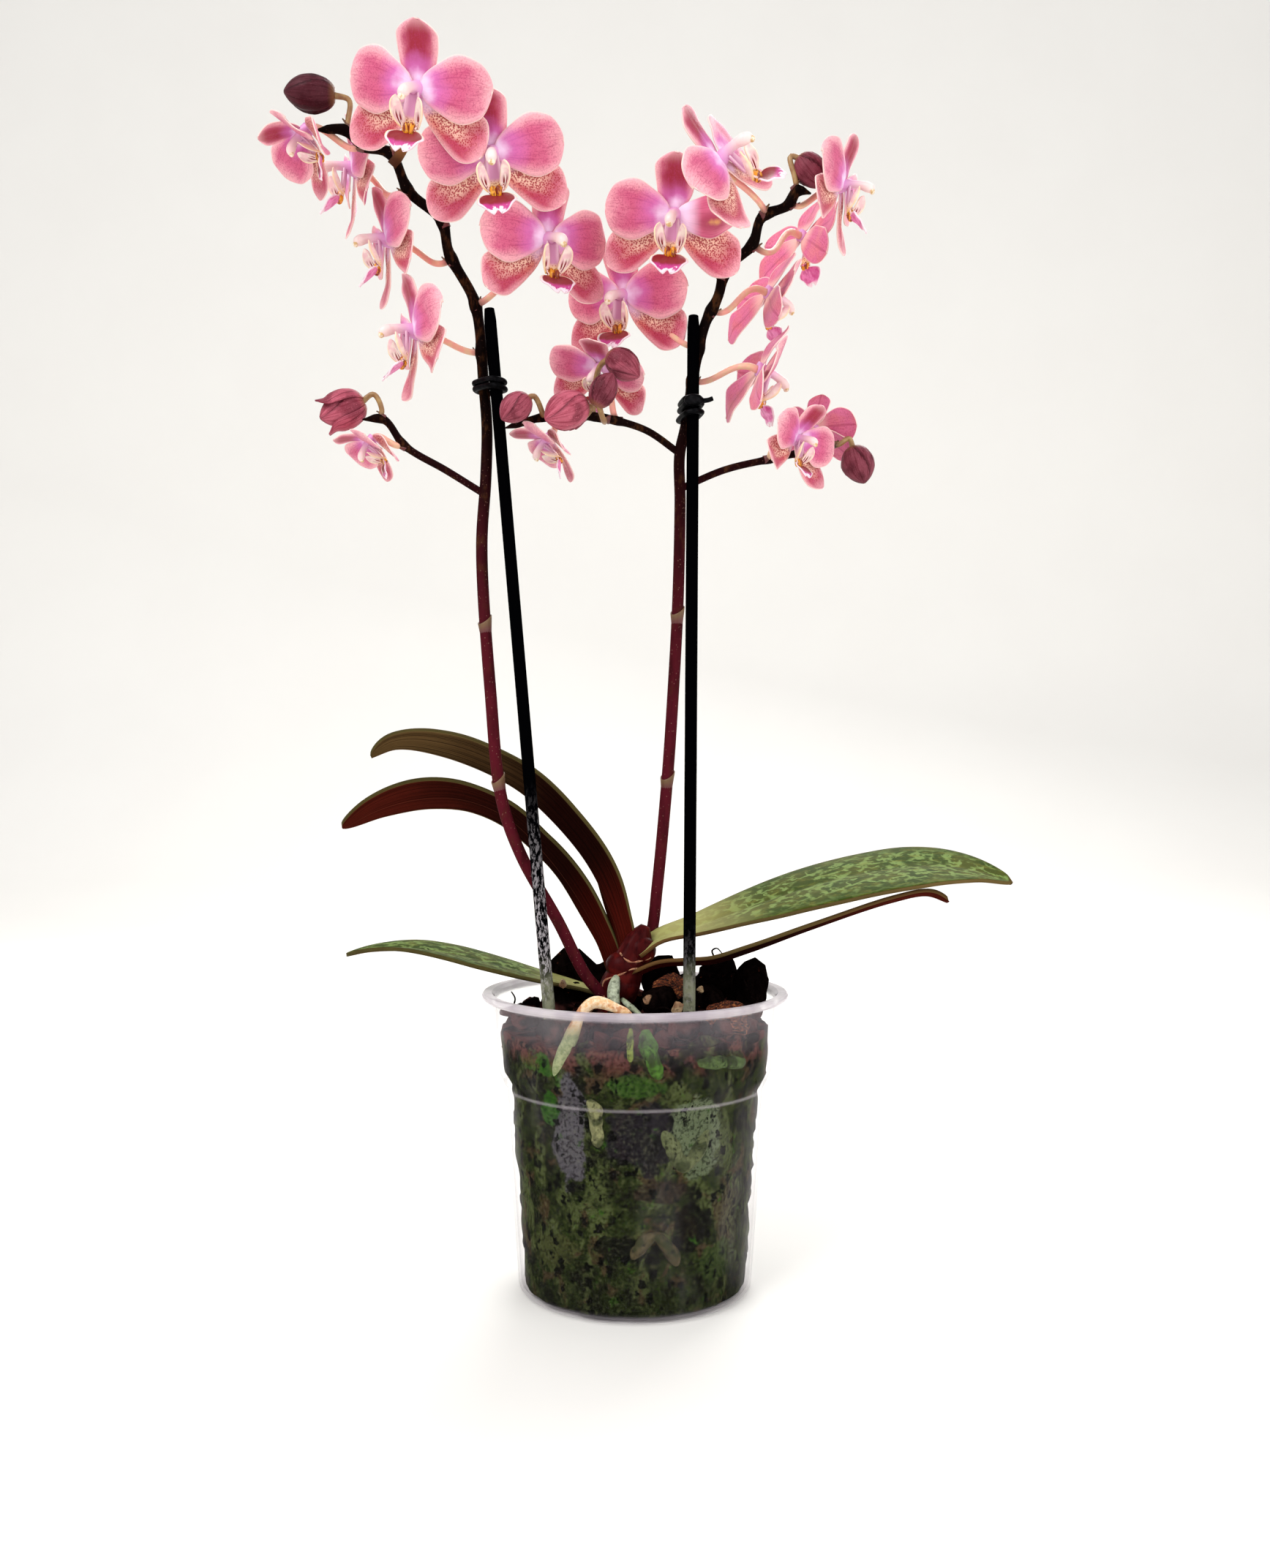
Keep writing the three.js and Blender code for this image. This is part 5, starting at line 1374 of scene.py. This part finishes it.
def make_bloom(name, spec, forms, sizes, seed, stalk_material):
    """A bloom from copies of the forms, its tepals leaned forward where it isn't open yet, and its stalk."""
    matrix = bloom_matrix(spec)
    lean = LEAN_SHUT * (1 - spec.get("open", 1))
    parts = []
    for i, part in enumerate(TEPALS):
        place = matrix @ tepal_matrix(part, lean)
        odd = part["form"] == "petal" and part["way"] == spec.get("odd_way")
        form = forms["odd_petal" if odd else part["form"]]
        parts.append(placed_copy(form, place, seed + 0.37 * i, 1.1 * MM))
    parts.append(placed_copy(forms["heart"], matrix, seed, 0))
    start = matrix @ mm(*PEDICEL_START)
    back = -Vector(spec["face"]).normalized()
    leave = mm(*spec["leave"])
    foot = stem_foot(spec["spike"], leave)
    points = pedicel_points(start, back, spec.get("bow", PEDICEL_BOW), foot, leave)
    parts.append(stalk("stalk", points, sizes.pedicel_radius, stalk_material))
    piece = joined(f"{name}_flower", parts)
    finish_piece(piece, "bloom", name)


def make_bud(name, spec, material, stalk_material):
    """A bud of three sepals, each lapping over the next along a seam that leans round it."""
    along = Vector(spec["tip"]).normalized()
    across = along.cross(Vector((0.1, 1, 0.2))).normalized()
    over = along.cross(across)
    length, width = spec["size"]
    base = mm(*spec["at"]) - along * (length / 2) * MM

    def radius(share, turn):
        lap = (1.5 * turn / math.pi + BUD_LEAN * share + BUD_LAP_START) % 1
        ledge = 0.13 * lap * math.sin(math.pi * share)
        rib = 0.012 * math.cos(18 * turn)
        return value_at(BUD_PROFILE, share) * width / 2 * MM * (0.88 + ledge + rib)

    middle_line = Route([base + along * (i * length / 4 * MM) for i in range(5)])
    parts = [tube(f"{name}_body", middle_line, radius, 54, 26, material)]
    for middle, gape in spec.get("flaps", ()):

        def place(u, v, middle=middle, gape=gape):
            turn = middle + 1.0 * u * math.sqrt(1 - 0.85 * v**5)
            reach = (value_at(BUD_PROFILE, min(v, 0.78)) * width / 2 * 1.05 + gape * v * v) * MM
            outwards = across * math.cos(turn) + over * math.sin(turn)
            return base + along * ((0.96 - 0.06 * u * u) * v * length * MM) + outwards * reach

        parts.append(sheet("flap", 14, 16, place, LIP_THICKNESS * MM, material))
    leave = mm(*spec["leave"])
    points = [base + along * 1.5 * MM, mm(*spec["bend"]), leave, stem_foot(spec["spike"], leave)]
    parts.append(stalk(f"{name}_stalk", points, BUD_STALK_RADIUS, stalk_material))
    finish_piece(joined(f"{name}_shape", parts), "bud", name)


def make_bract(foot, away, heading, material, size):
    """A small pointed scale on the stem below a flower stalk's foot."""
    lift = (away - heading * away.dot(heading)).normalized()
    across = heading.cross(lift)
    base = foot - heading * 2.2 * MM

    def place(u, v):
        turn = u * 1.35 * (1 - 0.6 * v)
        out = (2.0 + 1.5 * v) * size
        width = 2.4 * (1 - v**1.8) * size
        flat = (lift * math.cos(turn) * out + across * math.sin(turn) * width) * MM
        return base + flat + heading * 4.6 * v * size * MM

    return sheet("bract", 8, 8, place, BRACT_THICKNESS * MM, material, offset=-1.0)


def make_spike(side, tints):
    """A stem with its branches, sheaths and cut stubs, and a bract where each flower stalk leaves it."""
    spec = SPIKES[side]
    stem_material = stem_finish(f"stem_{side}", tints)
    scale_material = bract_finish(f"bract_{side}")
    routes = stem_routes(side)
    joints = []
    for table in (BLOOMS, BUDS):
        for row in table.values():
            if row["spike"] == side:
                leave = mm(*row["leave"])
                joints.append((stem_foot(side, leave), leave))
    parts = []
    for order, route in enumerate(routes):
        knots = [route.share_of(foot) for foot, _ in joints if (route.nearest(foot) - foot).length < 1e-5]
        length = route.lengths[-1]

        def radius(share, turn, order=order, knots=knots, length=length):
            slim = 1.35 if order else 2.25 - 0.65 * share**3
            swell = sum(math.exp(-(((share - knot) * length / (2.4 * MM)) ** 2)) for knot in knots)
            end = max(1 - (1 - share) * length / (4 * MM), 0)
            return slim * MM * (1 + 0.3 * min(swell, 1)) * (1 - 0.8 * end)

        parts.append(tube(f"stem_{order}", route, radius, 16, 60 if order else 200, stem_material))
    for z in spec["rings"]:
        spot = min(routes[0].points, key=lambda p: abs(p.z - z * MM))
        share = routes[0].share_of(spot)
        parts.append(sheath_ring(routes[0], share, scale_material))
    for path in spec.get("stubs", ()):
        dried = stub_finish(f"stub_{side}")
        parts.append(tube("stub", route_of(path), stub_radius, 14, 20, dried))
    for foot, leave in joints:
        route = min(routes, key=lambda r: (r.nearest(foot) - foot).length)
        heading = route.heading(route.share_of(foot))
        size = 1.0 if route is routes[0] else 0.8
        parts.append(make_bract(foot, leave - foot, heading, scale_material, size))
    piece = joined(f"spike_{side}_stems", parts)
    finish_piece(piece, "stem", f"spike_{side}")


def stub_radius(share, turn):
    return (1.9 - 1.3 * max(share - 0.9, 0) / 0.1) * MM


def sheath_ring(route, share, material):
    """A papery sheath that wraps the stem at a joint."""
    length = route.lengths[-1]
    reach = 5.5 * MM / length

    def place(u, v):
        at = share - reach * 0.4 + reach * v * (1 + 0.35 * math.cos(math.pi * u))
        heading = route.heading(at)
        across = heading.orthogonal().normalized()
        over = heading.cross(across)
        turn = math.pi * u
        radius = (2.15 + 0.55 * v) * MM
        return route.at(at) + across * math.cos(turn) * radius + over * math.sin(turn) * radius

    return sheet("sheath", 20, 6, place, SHEATH_THICKNESS * MM, material, offset=-1.0)


def make_leaf(name, spec, sizes, top, under):
    """A leaf with a grooved midrib, folded at its foot where it clasps the crown, and a rounded tip."""
    curve = route_of(spec["rib"])
    outline = [(share, width * width) for share, width in LEAF_OUTLINE]
    half_width = spec["half"] * MM
    fold = spec.get("fold", (spec["near"][0], spec["far"][0]))

    def place(u, v):
        share = 1 - (1 - v) ** 1.35
        middle = curve.at(share)
        along = curve.heading(share)
        side = Vector((0, 1, 0)) - along * along.y
        side.normalize()
        over = side.cross(along).normalized()
        if over.z < 0:
            over.negate()
        rise = spec["far"] if u > 0 else spec["near"]
        angle = rise[0] + (rise[1] - rise[0]) * share
        foot = fold[1] if u > 0 else fold[0]
        angle = math.radians(angle + (foot - angle) * max(1 - share / 0.4, 0) ** 1.5)
        reach = abs(u)
        half = half_width * math.sqrt(max(value_at(outline, share), 0))
        soft = math.sqrt(reach * reach + 0.012) - math.sqrt(0.012)
        droop = -0.06 * reach**3 * half * math.sin(math.pi * share)
        groove = -1.0 * MM * math.exp(-((reach * half / (2.2 * MM)) ** 2)) * (1 - share)
        buckle = ripple(middle + side * u * half, 45 * MM, 1.6 * MM * reach * min(share * 3, 1), 3)
        lift = half * math.sin(angle) * soft + droop + groove + buckle
        return middle + side * (math.copysign(1, u) * reach * half * math.cos(angle)) + over * lift

    faces = (under, top) if spec["rib"][-1][0] > 0 else (top, under)
    blade = sheet(f"{name}_blade", 28, 72, place, sizes.leaf_thickness, *faces)
    piece = joined(f"{name}_blade", [blade])
    finish_piece(piece, "green_leaf" if spec["finish"] == "green" else "dark_leaf", name)


def crown_centre(z):
    """The middle of the leaning stem at a height in millimetres."""
    return mm(-8.5 + 0.42 * max(z - 105, 0), 0, z)


def ragged_radius(share, turn):
    return (0.34 + 0.14 * math.sin(23 * share)) * MM


def make_crown(material, edge_material, root_material):
    """The short stem: swollen leaf sheaths, one over the other, with ragged papery edges and a root."""
    low, high = CROWN_PROFILE[0][0], CROWN_PROFILE[-1][0]
    route = Route([crown_centre(low + (high - low) * i / 12) for i in range(13)])

    def radius(share, turn):
        swell = value_at(CROWN_PROFILE, route.at(share).z / MM)
        return swell * MM * (1 + 0.04 * math.sin(2 * turn + 9 * share) + 0.012 * math.cos(13 * turn))

    body = tube("sheaths", route, radius, 48, 90, material, 0.88)
    swells = [ball("swell", at, size, material) for at, size in CROWN_SWELLS]
    stem = joined("sheaths", [body, *swells])
    bpy.context.view_layer.update()
    parts = [stem]
    for line in CROWN_EDGES:
        ring = []
        for x, z in line:
            hit, spot, _, _ = stem.ray_cast(mm(x, -40, z), Vector((0, 1, 0)))
            ring.append(spot if hit else crown_centre(z))
        parts.append(tube("edge", Route(ring), ragged_radius, 6, 60, edge_material))
    for name, path, stops in CROWN_ROOTS:

        def root_radius(share, turn, stops=stops):
            return value_at(stops, share) * MM

        parts.append(tube(name, route_of(path), root_radius, 16, 16, root_material))
    finish_piece(joined("crown_sheaths", parts), "crown", "crown")


def wall_at(height):
    """Inner radius of the pot's wall at a height, in millimetres."""
    for (z0, r0), (z1, r1) in zip(WALL_INSIDE, WALL_INSIDE[1:]):
        if height <= z1:
            return r0 + (r1 - r0) * (height - z0) / (z1 - z0)
    return WALL_INSIDE[-1][1]


def wall_point(degrees, z, depth):
    """A place depth behind the wall, at an angle from the pot's front."""
    turn = math.radians(degrees)
    reach = wall_at(z) - depth
    return mm(reach * math.sin(turn), -reach * math.cos(turn), z)


def make_root(name, points, radii, material, seed):
    """A root with a lumpy skin, from stops of (share, radius in millimetres)."""
    route = Route(points)

    def size(share, turn):
        lump = 1 + 0.14 * noise.noise(Vector((share * 11, math.cos(turn) * 0.7, math.sin(turn) * 0.7 + seed)))
        return value_at(radii, share) * MM * lump

    return tube(f"{name}_skin", route, size, 18, 54, material)


def make_pot(material):
    """The clear pot, spun from its profile, with its drain holes cut through the base."""
    deselect()
    bpy.ops.mesh.primitive_circle_add(vertices=len(POT_PROFILE), radius=1)
    piece = bpy.context.object
    piece.name = piece.data.name = "pot_wall"
    for vertex, (radius, z) in zip(piece.data.vertices, POT_PROFILE):
        vertex.co = mm(radius, 0, z)
    bpy.ops.object.mode_set(mode="EDIT")
    bpy.ops.mesh.select_mode(type="EDGE")
    bpy.ops.mesh.select_all(action="DESELECT")
    bpy.ops.object.mode_set(mode="OBJECT")
    for edge in piece.data.edges:
        edge.select = set(edge.vertices) == {0, len(POT_PROFILE) - 1}
    bpy.ops.object.mode_set(mode="EDIT")
    bpy.ops.mesh.delete(type="EDGE")
    bpy.ops.mesh.select_all(action="SELECT")
    bpy.ops.mesh.spin(steps=128, angle=2 * math.pi, center=(0, 0, 0), axis=(0, 0, 1))
    bpy.ops.mesh.select_all(action="SELECT")
    weld(1e-5)
    outward()
    bpy.ops.object.mode_set(mode="OBJECT")
    for i in range(DRAINS["count"]):
        spot = polar(2 * math.pi * i / DRAINS["count"], DRAINS["circle"])
        deselect()
        bpy.ops.mesh.primitive_cylinder_add(
            vertices=24, radius=DRAINS["radius"] * MM, depth=8 * MM, location=mm(*spot, 0))
        cutter = bpy.context.object
        apply_modifier(piece, "BOOLEAN", object=cutter, operation="DIFFERENCE", solver="EXACT")
        bpy.data.objects.remove(cutter)
    choose(piece)
    bpy.ops.object.shade_smooth_by_angle(angle=math.radians(35))
    wear(piece, material)
    finish_piece(piece, "pot", "pot")


def chunk_forms():
    """Four broken lumps of bark, each a ball cut flat on several sides."""
    draw = random.Random(3)
    forms = []
    for i in range(4):
        deselect()
        bpy.ops.mesh.primitive_ico_sphere_add(subdivisions=2, radius=1)
        piece = bpy.context.object
        piece.name = piece.data.name = f"form_chunk_{i}"
        bpy.ops.object.mode_set(mode="EDIT")
        for _ in range(7):
            way = Vector((draw.uniform(-1, 1), draw.uniform(-1, 1), draw.uniform(-1, 1))).normalized()
            bpy.ops.mesh.select_all(action="SELECT")
            bpy.ops.mesh.bisect(plane_co=way * draw.uniform(0.5, 0.75), plane_no=way, use_fill=True,
                                clear_outer=True)
        bpy.ops.object.mode_set(mode="OBJECT")
        for vertex in piece.data.vertices:
            vertex.co += vertex.co.normalized() * noise.noise(vertex.co * 2.3 + Vector((i * 5, 0, 0))) * 0.16
        forms.append(piece)
    return forms


def chunk(form, at, size, turn, tip, material):
    """A lump of bark of the given size, turned, at a place in millimetres."""
    scale = Matrix.Diagonal((*(s * 0.62 * MM for s in size), 1))
    turned = Matrix.Translation(mm(*at)) @ Matrix.Rotation(turn, 4, "Z") @ Matrix.Rotation(tip, 4, "X")
    lump = placed_copy(form, turned @ scale, 0, 0)
    wear(lump, material)
    return lump


def fill_place(u, v):
    """A point on the fill's body: up its dented side for most of v, then inwards over its uneven top."""
    turn = math.pi * u
    if v < 0.8:
        z = 2.0 + 95 * v / 0.8
        dent = noise.noise(Vector((*polar(turn, 5), z / 9)))
        reach = wall_at(z) - FILL_INSET + 1.1 * dent
    else:
        share = (v - 0.8) / 0.2
        spot = Vector((6 * math.cos(turn) * (1 - share), 6 * math.sin(turn) * (1 - share), 3))
        z = FILL_SHOULDER + 2.5 * noise.noise(spot)
        reach = (wall_at(FILL_SHOULDER) - FILL_INSET) * (1 - share)
    return mm(*polar(turn, reach), z)


def twig_radius(share, turn):
    return (0.5 - 0.25 * share) * MM


def make_bark(sizes, tints):
    """The fill: a body that fits the wall, lumps pressed against the wall, lumps and bits on top."""
    top_material = bark_finish("bark", tints)
    fibre = fibre_finish("bark_fibre")
    film = film_finish("wet_bark", tints)
    pale = root_finish("bark_chip", colour(176, 148, 112), colour(120, 84, 60))
    draw = random.Random(sizes.bark_seed)
    body = grid("fill", 96, 60, fill_place)
    in_edit_mode(body, lambda: weld(1e-5), close_holes, outward)
    wear(body, film, top_material)
    for face in body.data.polygons:
        if face.center.z > 96 * MM:
            face.material_index = 1
    forms = chunk_forms()
    parts = [body]
    for i, spec in enumerate(BIG_CHUNKS):
        material = fibre if spec.get("fibre") else top_material
        parts.append(chunk(forms[i % 4], spec["at"], spec["size"], spec["turn"], 0.2, material))
    for i in range(TOP_LUMPS["count"]):
        reach = TOP_LUMPS["spread"] * math.sqrt((i + 0.5) / TOP_LUMPS["count"])
        at = (*polar(GOLDEN_TURN * i, reach), FILL_TOP + draw.uniform(-2.5, 2.5))
        size = (draw.uniform(6, 13), draw.uniform(4, 8), draw.uniform(4, 9))
        turn, tip = draw.uniform(0, 6.28), draw.uniform(-0.7, 0.7)
        parts.append(chunk(forms[i % 4], at, size, turn, tip, top_material))
    for i in range(WALL_LUMPS["count"]):
        z = WALL_LUMPS["low"] + WALL_LUMPS["rise"] * (i + 0.5) / WALL_LUMPS["count"]
        degrees = math.degrees(GOLDEN_TURN * i) + draw.uniform(-8, 8)
        at = wall_point(degrees, z, WALL_LUMPS["depth"]) / MM
        size = (draw.uniform(9, 19), 5, draw.uniform(7, 16))
        turn, tip = math.radians(degrees), draw.uniform(-0.1, 0.1)
        parts.append(chunk(forms[i % 4], at, size, turn, tip, film))
    for at, size in CHIPS:
        turn, tip = draw.uniform(0, 6.28), draw.uniform(-0.7, 0.7)
        parts.append(chunk(forms[0], at, size, turn, tip, pale))
    for path in TWIGS:
        parts.append(tube("twig", route_of(path), twig_radius, 6, 20, top_material))
    piece = joined("bark_fill", parts)
    trim_to_wall(piece)
    choose(piece)
    bpy.ops.object.shade_smooth_by_angle(angle=math.radians(40))
    finish_piece(piece, "bark", "medium")
    for form in forms:
        bpy.data.objects.remove(form)


def trim_to_wall(piece):
    """Draws in whatever would stand through the pot's wall."""
    for vertex in piece.data.vertices:
        z = vertex.co.z / MM
        limit = (wall_at(z) - WALL_CLEARANCE) * MM
        flat = vertex.co.xy
        if z < TRIM_TOP and flat.length > limit:
            flat = flat.normalized() * limit
            vertex.co.x, vertex.co.y = flat
        vertex.co.z = max(vertex.co.z, FILL_FLOOR * MM)


def stake_at(side, height):
    """The middle of a stake at a height in metres."""
    low, top = mm(*STAKES[side]["low"]), mm(*STAKES[side]["top"])
    return low.lerp(top, (height - low.z) / (top.z - low.z))


def make_stake(side, sizes, material):
    """A plain rod from its foot in the bark to its slightly rounded top."""
    foot, top = stake_at(side, STAKE_FOOT * MM), mm(*STAKES[side]["top"])
    route = Route([foot, foot.lerp(top, 0.5), top])
    length = route.lengths[-1]

    def radius(share, turn):
        end = min((1 - share) * length / (0.6 * MM), 1)
        return sizes.stake_radius * (0.82 + 0.18 * math.sqrt(end))

    piece = tube(f"stake_{side}_rod", route, radius, 32, 80, material)
    finish_piece(piece, "stake", f"stake_{side}")


def tie_loop(side, z, slope, sizes, wire):
    """Points of a flat loop round a stake and its stem at height z."""
    height = z * MM
    stem_spot = min(stem_routes(side)[0].points, key=lambda p: abs(p.z - height))
    stake_spot = stake_at(side, height)
    axis = Vector((stem_spot.x - stake_spot.x, stem_spot.y - stake_spot.y, 0))
    middle = stake_spot + axis * 0.5
    middle.z = height
    wide = sizes.stake_radius + wire * MM
    run = axis.length / 2
    axis.normalize()
    square = Vector((-axis.y, axis.x, 0))
    ring = []
    for i in range(33):
        turn = 2 * math.pi * i / 32
        shift = run * max(min(3 * math.cos(turn), 1), -1)
        flat = axis * (wide * math.cos(turn) + shift) + square * wide * math.sin(turn)
        ring.append(middle + flat - Vector((0, 0, slope * flat.x * 0.2)))
    return ring


def make_tie(side, sizes, material):
    """Flat loops of wire round a stake and its stem. The right one ends in a knot with a short tail."""
    spec = TIES[side]
    wire = spec["wire"]
    parts = []
    for z, slope in spec["loops"]:
        ring = tie_loop(side, z, slope, sizes, wire)
        parts.append(tube("loop", Route(ring, 4), lambda share, turn: wire * MM, 14, 96, material))
    if "knot" in spec:
        height = (spec["loops"][0][0] - 0.9) * MM
        front = stake_at(side, height) / MM + Vector((0.2, -3.4, 0))
        parts.append(ball("knot", front, spec["knot"], material))
        tail = route_of([front + Vector(point) for point in spec["tail"]])
        parts.append(tube("tail", tail, lambda share, turn: (0.95 - 0.1 * share) * MM, 12, 16, material))
    finish_piece(joined(f"tie_{side}_wire", parts), "tie", f"tie_{side}")


def build_studio(tints):
    """A pale floor that sweeps up behind, soft lamps and the photograph's viewpoint."""
    last = len(FLOOR_PROFILE) - 1
    backs = [(i / last, y) for i, (y, _) in enumerate(FLOOR_PROFILE)]
    heights = [(i / last, z) for i, (_, z) in enumerate(FLOOR_PROFILE)]

    def place(u, v):
        return Vector((u * 3, value_at(backs, v), value_at(heights, v) - 0.0002))

    floor = grid("floor", 4, 48, place)
    wear(floor, floor_finish("floor", tints))
    world = bpy.data.worlds.new("studio")
    bpy.context.scene.world = world
    world.use_nodes = True
    sky = world.node_tree.nodes["Background"]
    sky.inputs["Color"].default_value = (1, 1, 1, 1)
    sky.inputs["Strength"].default_value = SKY_STRENGTH
    for name, spot, width, power in LAMPS:
        deselect()
        bpy.ops.object.light_add(type="AREA", location=spot)
        lamp = bpy.context.object
        lamp.name = name
        lamp.data.size = width
        lamp.data.energy = power
        lamp.rotation_euler = (LAMP_TARGET - Vector(spot)).to_track_quat("-Z", "Y").to_euler()
    deselect()
    bpy.ops.object.camera_add(location=CAMERA["place"], rotation=(math.radians(90), 0, 0))
    camera = bpy.context.object
    camera.data.lens = CAMERA["lens"]
    camera.data.sensor_width = CAMERA["sensor"]
    camera.data.clip_start = CAMERA["nearest"]
    bpy.context.scene.camera = camera
    bpy.context.scene.view_settings.view_transform = "Standard"


class ORCHID_OT_pot(bpy.types.Operator):
    """Make the clear pot"""

    bl_idname = "orchid.pot"
    bl_label = "Pot"

    def execute(self, context):
        make_pot(pot_finish("clear_plastic"))
        return {"FINISHED"}


class ORCHID_OT_bark(bpy.types.Operator):
    """Make the bark that fills the pot"""

    bl_idname = "orchid.bark"
    bl_label = "Bark"

    def execute(self, context):
        make_bark(context.scene.orchid_sizes, context.scene.orchid_colours)
        return {"FINISHED"}


class ORCHID_OT_roots(bpy.types.Operator):
    """Make the roots behind the wall and the dried one that arches over the bark"""

    bl_idname = "orchid.roots"
    bl_label = "Roots"

    def execute(self, context):
        tints = context.scene.orchid_colours
        for seed, (name, (radius, tint, path)) in enumerate(WALL_ROOTS.items()):
            depth = WALL_CLEARANCE + 0.95 * radius
            points = [wall_point(degrees, z, depth) for degrees, z in path]
            for end in (0, -1):
                points[end] = wall_point(*path[end], depth + ROOT_DIVE)
            radii = [(share, size * radius) for share, size in ROOT_SWELLING]
            material = root_finish(f"{name}_skin", colour(*tint), tints.moss)
            finish_piece(make_root(name, points, radii, material, seed), "root", name)
        arch = [mm(*point) for point in ARCH_TOP]
        arch += [wall_point(degrees, z, WALL_CLEARANCE + ARCH_DEPTH) for degrees, z in ARCH_FOOT]
        piece = make_root("root_arch", arch, ARCH_RADII, dry_root_finish("dry_root", tints), 9)
        finish_piece(piece, "dry_root", "root_arch")
        return {"FINISHED"}


class ORCHID_OT_crown(bpy.types.Operator):
    """Make the crown of leaf sheaths"""

    bl_idname = "orchid.crown"
    bl_label = "Crown"

    def execute(self, context):
        tints = context.scene.orchid_colours
        pale_root = root_finish("crown_root", colour(186, 194, 168), colour(140, 150, 118))
        edge = root_finish("crown_edge", colour(206, 150, 116), colour(150, 84, 66))
        make_crown(crown_finish("crown_sheath", tints), edge, pale_root)
        return {"FINISHED"}


class ORCHID_OT_leaves(bpy.types.Operator):
    """Make the leaves"""

    bl_idname = "orchid.leaves"
    bl_label = "Leaves"

    def execute(self, context):
        tints, sizes = context.scene.orchid_colours, context.scene.orchid_sizes
        tops = {
            "green": leaf_top_finish("mottled_leaf_top", tints, 0.75),
            "dark": leaf_top_finish("dark_leaf_top", tints, 0.3),
        }
        brown = leaf_under_finish("leaf_underside", tints, tints.leaf_brown)
        red = leaf_under_finish("leaf_underside_red", tints, colour(78, 26, 18))
        for name, spec in LEAVES.items():
            make_leaf(name, spec, sizes, tops[spec["finish"]], red if spec.get("red") else brown)
        return {"FINISHED"}


class ORCHID_OT_stakes(bpy.types.Operator):
    """Make the two stakes and their ties"""

    bl_idname = "orchid.stakes"
    bl_label = "Stakes and ties"

    def execute(self, context):
        sizes = context.scene.orchid_sizes
        wire = tie_finish("tie")
        for side, spec in STAKES.items():
            make_stake(side, sizes, stake_finish(f"stake_{side}", spec["crust_top"]))
            make_tie(side, sizes, wire)
        return {"FINISHED"}


class ORCHID_OT_spikes(bpy.types.Operator):
    """Make the flower stems with their branches, sheaths and bracts"""

    bl_idname = "orchid.spikes"
    bl_label = "Flower stems"

    def execute(self, context):
        for side in SPIKES:
            make_spike(side, context.scene.orchid_colours)
        return {"FINISHED"}


class ORCHID_OT_blooms(bpy.types.Operator):
    """Make the open blooms"""

    bl_idname = "orchid.blooms"
    bl_label = "Blooms"

    def execute(self, context):
        tints, sizes = context.scene.orchid_colours, context.scene.orchid_sizes
        forms = bloom_forms(sizes, tints)
        stalk_material = stalk_finish("bloom_stalk", tints.pedicel, colour(92, 36, 36), colour(226, 190, 150))
        for seed, (name, spec) in enumerate(BLOOMS.items(), 1):
            make_bloom(name, spec, forms, sizes, seed, stalk_material)
        for form in forms.values():
            bpy.data.objects.remove(form)
        return {"FINISHED"}


class ORCHID_OT_buds(bpy.types.Operator):
    """Make the buds"""

    bl_idname = "orchid.buds"
    bl_label = "Buds"

    def execute(self, context):
        tints = context.scene.orchid_colours
        light, dark = Vector(tints.bud_light), Vector(tints.bud)
        # Each tone is the same bud colours dimmed by a share: partly a bud's own colour, partly painted light
        # and shade.
        tones = {
            tone: bud_finish(f"bud_{tone}", tuple(light * share), tuple(dark * share))
            for tone, share in (("light", 1.0), ("rosy", 0.7), ("middle", 0.45), ("dark", 0.17))
        }
        brown, dark_brown, green = colour(136, 98, 58), colour(66, 30, 24), colour(164, 134, 84)
        stalk_material = stalk_finish("bud_stalk", brown, dark_brown, green)
        for name, spec in BUDS.items():
            make_bud(name, spec, tones[spec.get("tone", "middle")], stalk_material)
        return {"FINISHED"}


class ORCHID_OT_studio(bpy.types.Operator):
    """Make the floor, the lamps and the camera"""

    bl_idname = "orchid.studio"
    bl_label = "Studio"

    def execute(self, context):
        build_studio(context.scene.orchid_colours)
        return {"FINISHED"}


STEPS = (
    ORCHID_OT_pot, ORCHID_OT_bark, ORCHID_OT_roots, ORCHID_OT_crown, ORCHID_OT_leaves, ORCHID_OT_stakes,
    ORCHID_OT_spikes, ORCHID_OT_blooms, ORCHID_OT_buds, ORCHID_OT_studio,
)


class ORCHID_PT_panel(bpy.types.Panel):
    """Buttons for the groups of pieces, with their sizes and colours"""

    bl_label = "Orchid"
    bl_idname = "ORCHID_PT_panel"
    bl_space_type = "VIEW_3D"
    bl_region_type = "UI"
    bl_category = "Orchid"

    def draw(self, context):
        for step in STEPS:
            self.layout.operator(step.bl_idname)
        for group in (context.scene.orchid_sizes, context.scene.orchid_colours):
            for name in group.bl_rna.properties.keys():
                if name not in ("rna_type", "name"):
                    self.layout.prop(group, name)


CLASSES = (OrchidSizes, OrchidColours, *STEPS, ORCHID_PT_panel)


def register():
    for one in CLASSES:
        bpy.utils.register_class(one)
    bpy.types.Scene.orchid_sizes = bpy.props.PointerProperty(type=OrchidSizes)
    bpy.types.Scene.orchid_colours = bpy.props.PointerProperty(type=OrchidColours)


def unregister():
    del bpy.types.Scene.orchid_sizes
    del bpy.types.Scene.orchid_colours
    for one in reversed(CLASSES):
        bpy.utils.unregister_class(one)


def main():
    register()
    for step in STEPS:
        group, name = step.bl_idname.split(".")
        getattr(getattr(bpy.ops, group), name)()
    deselect()


if __name__ == "__main__":
    main()
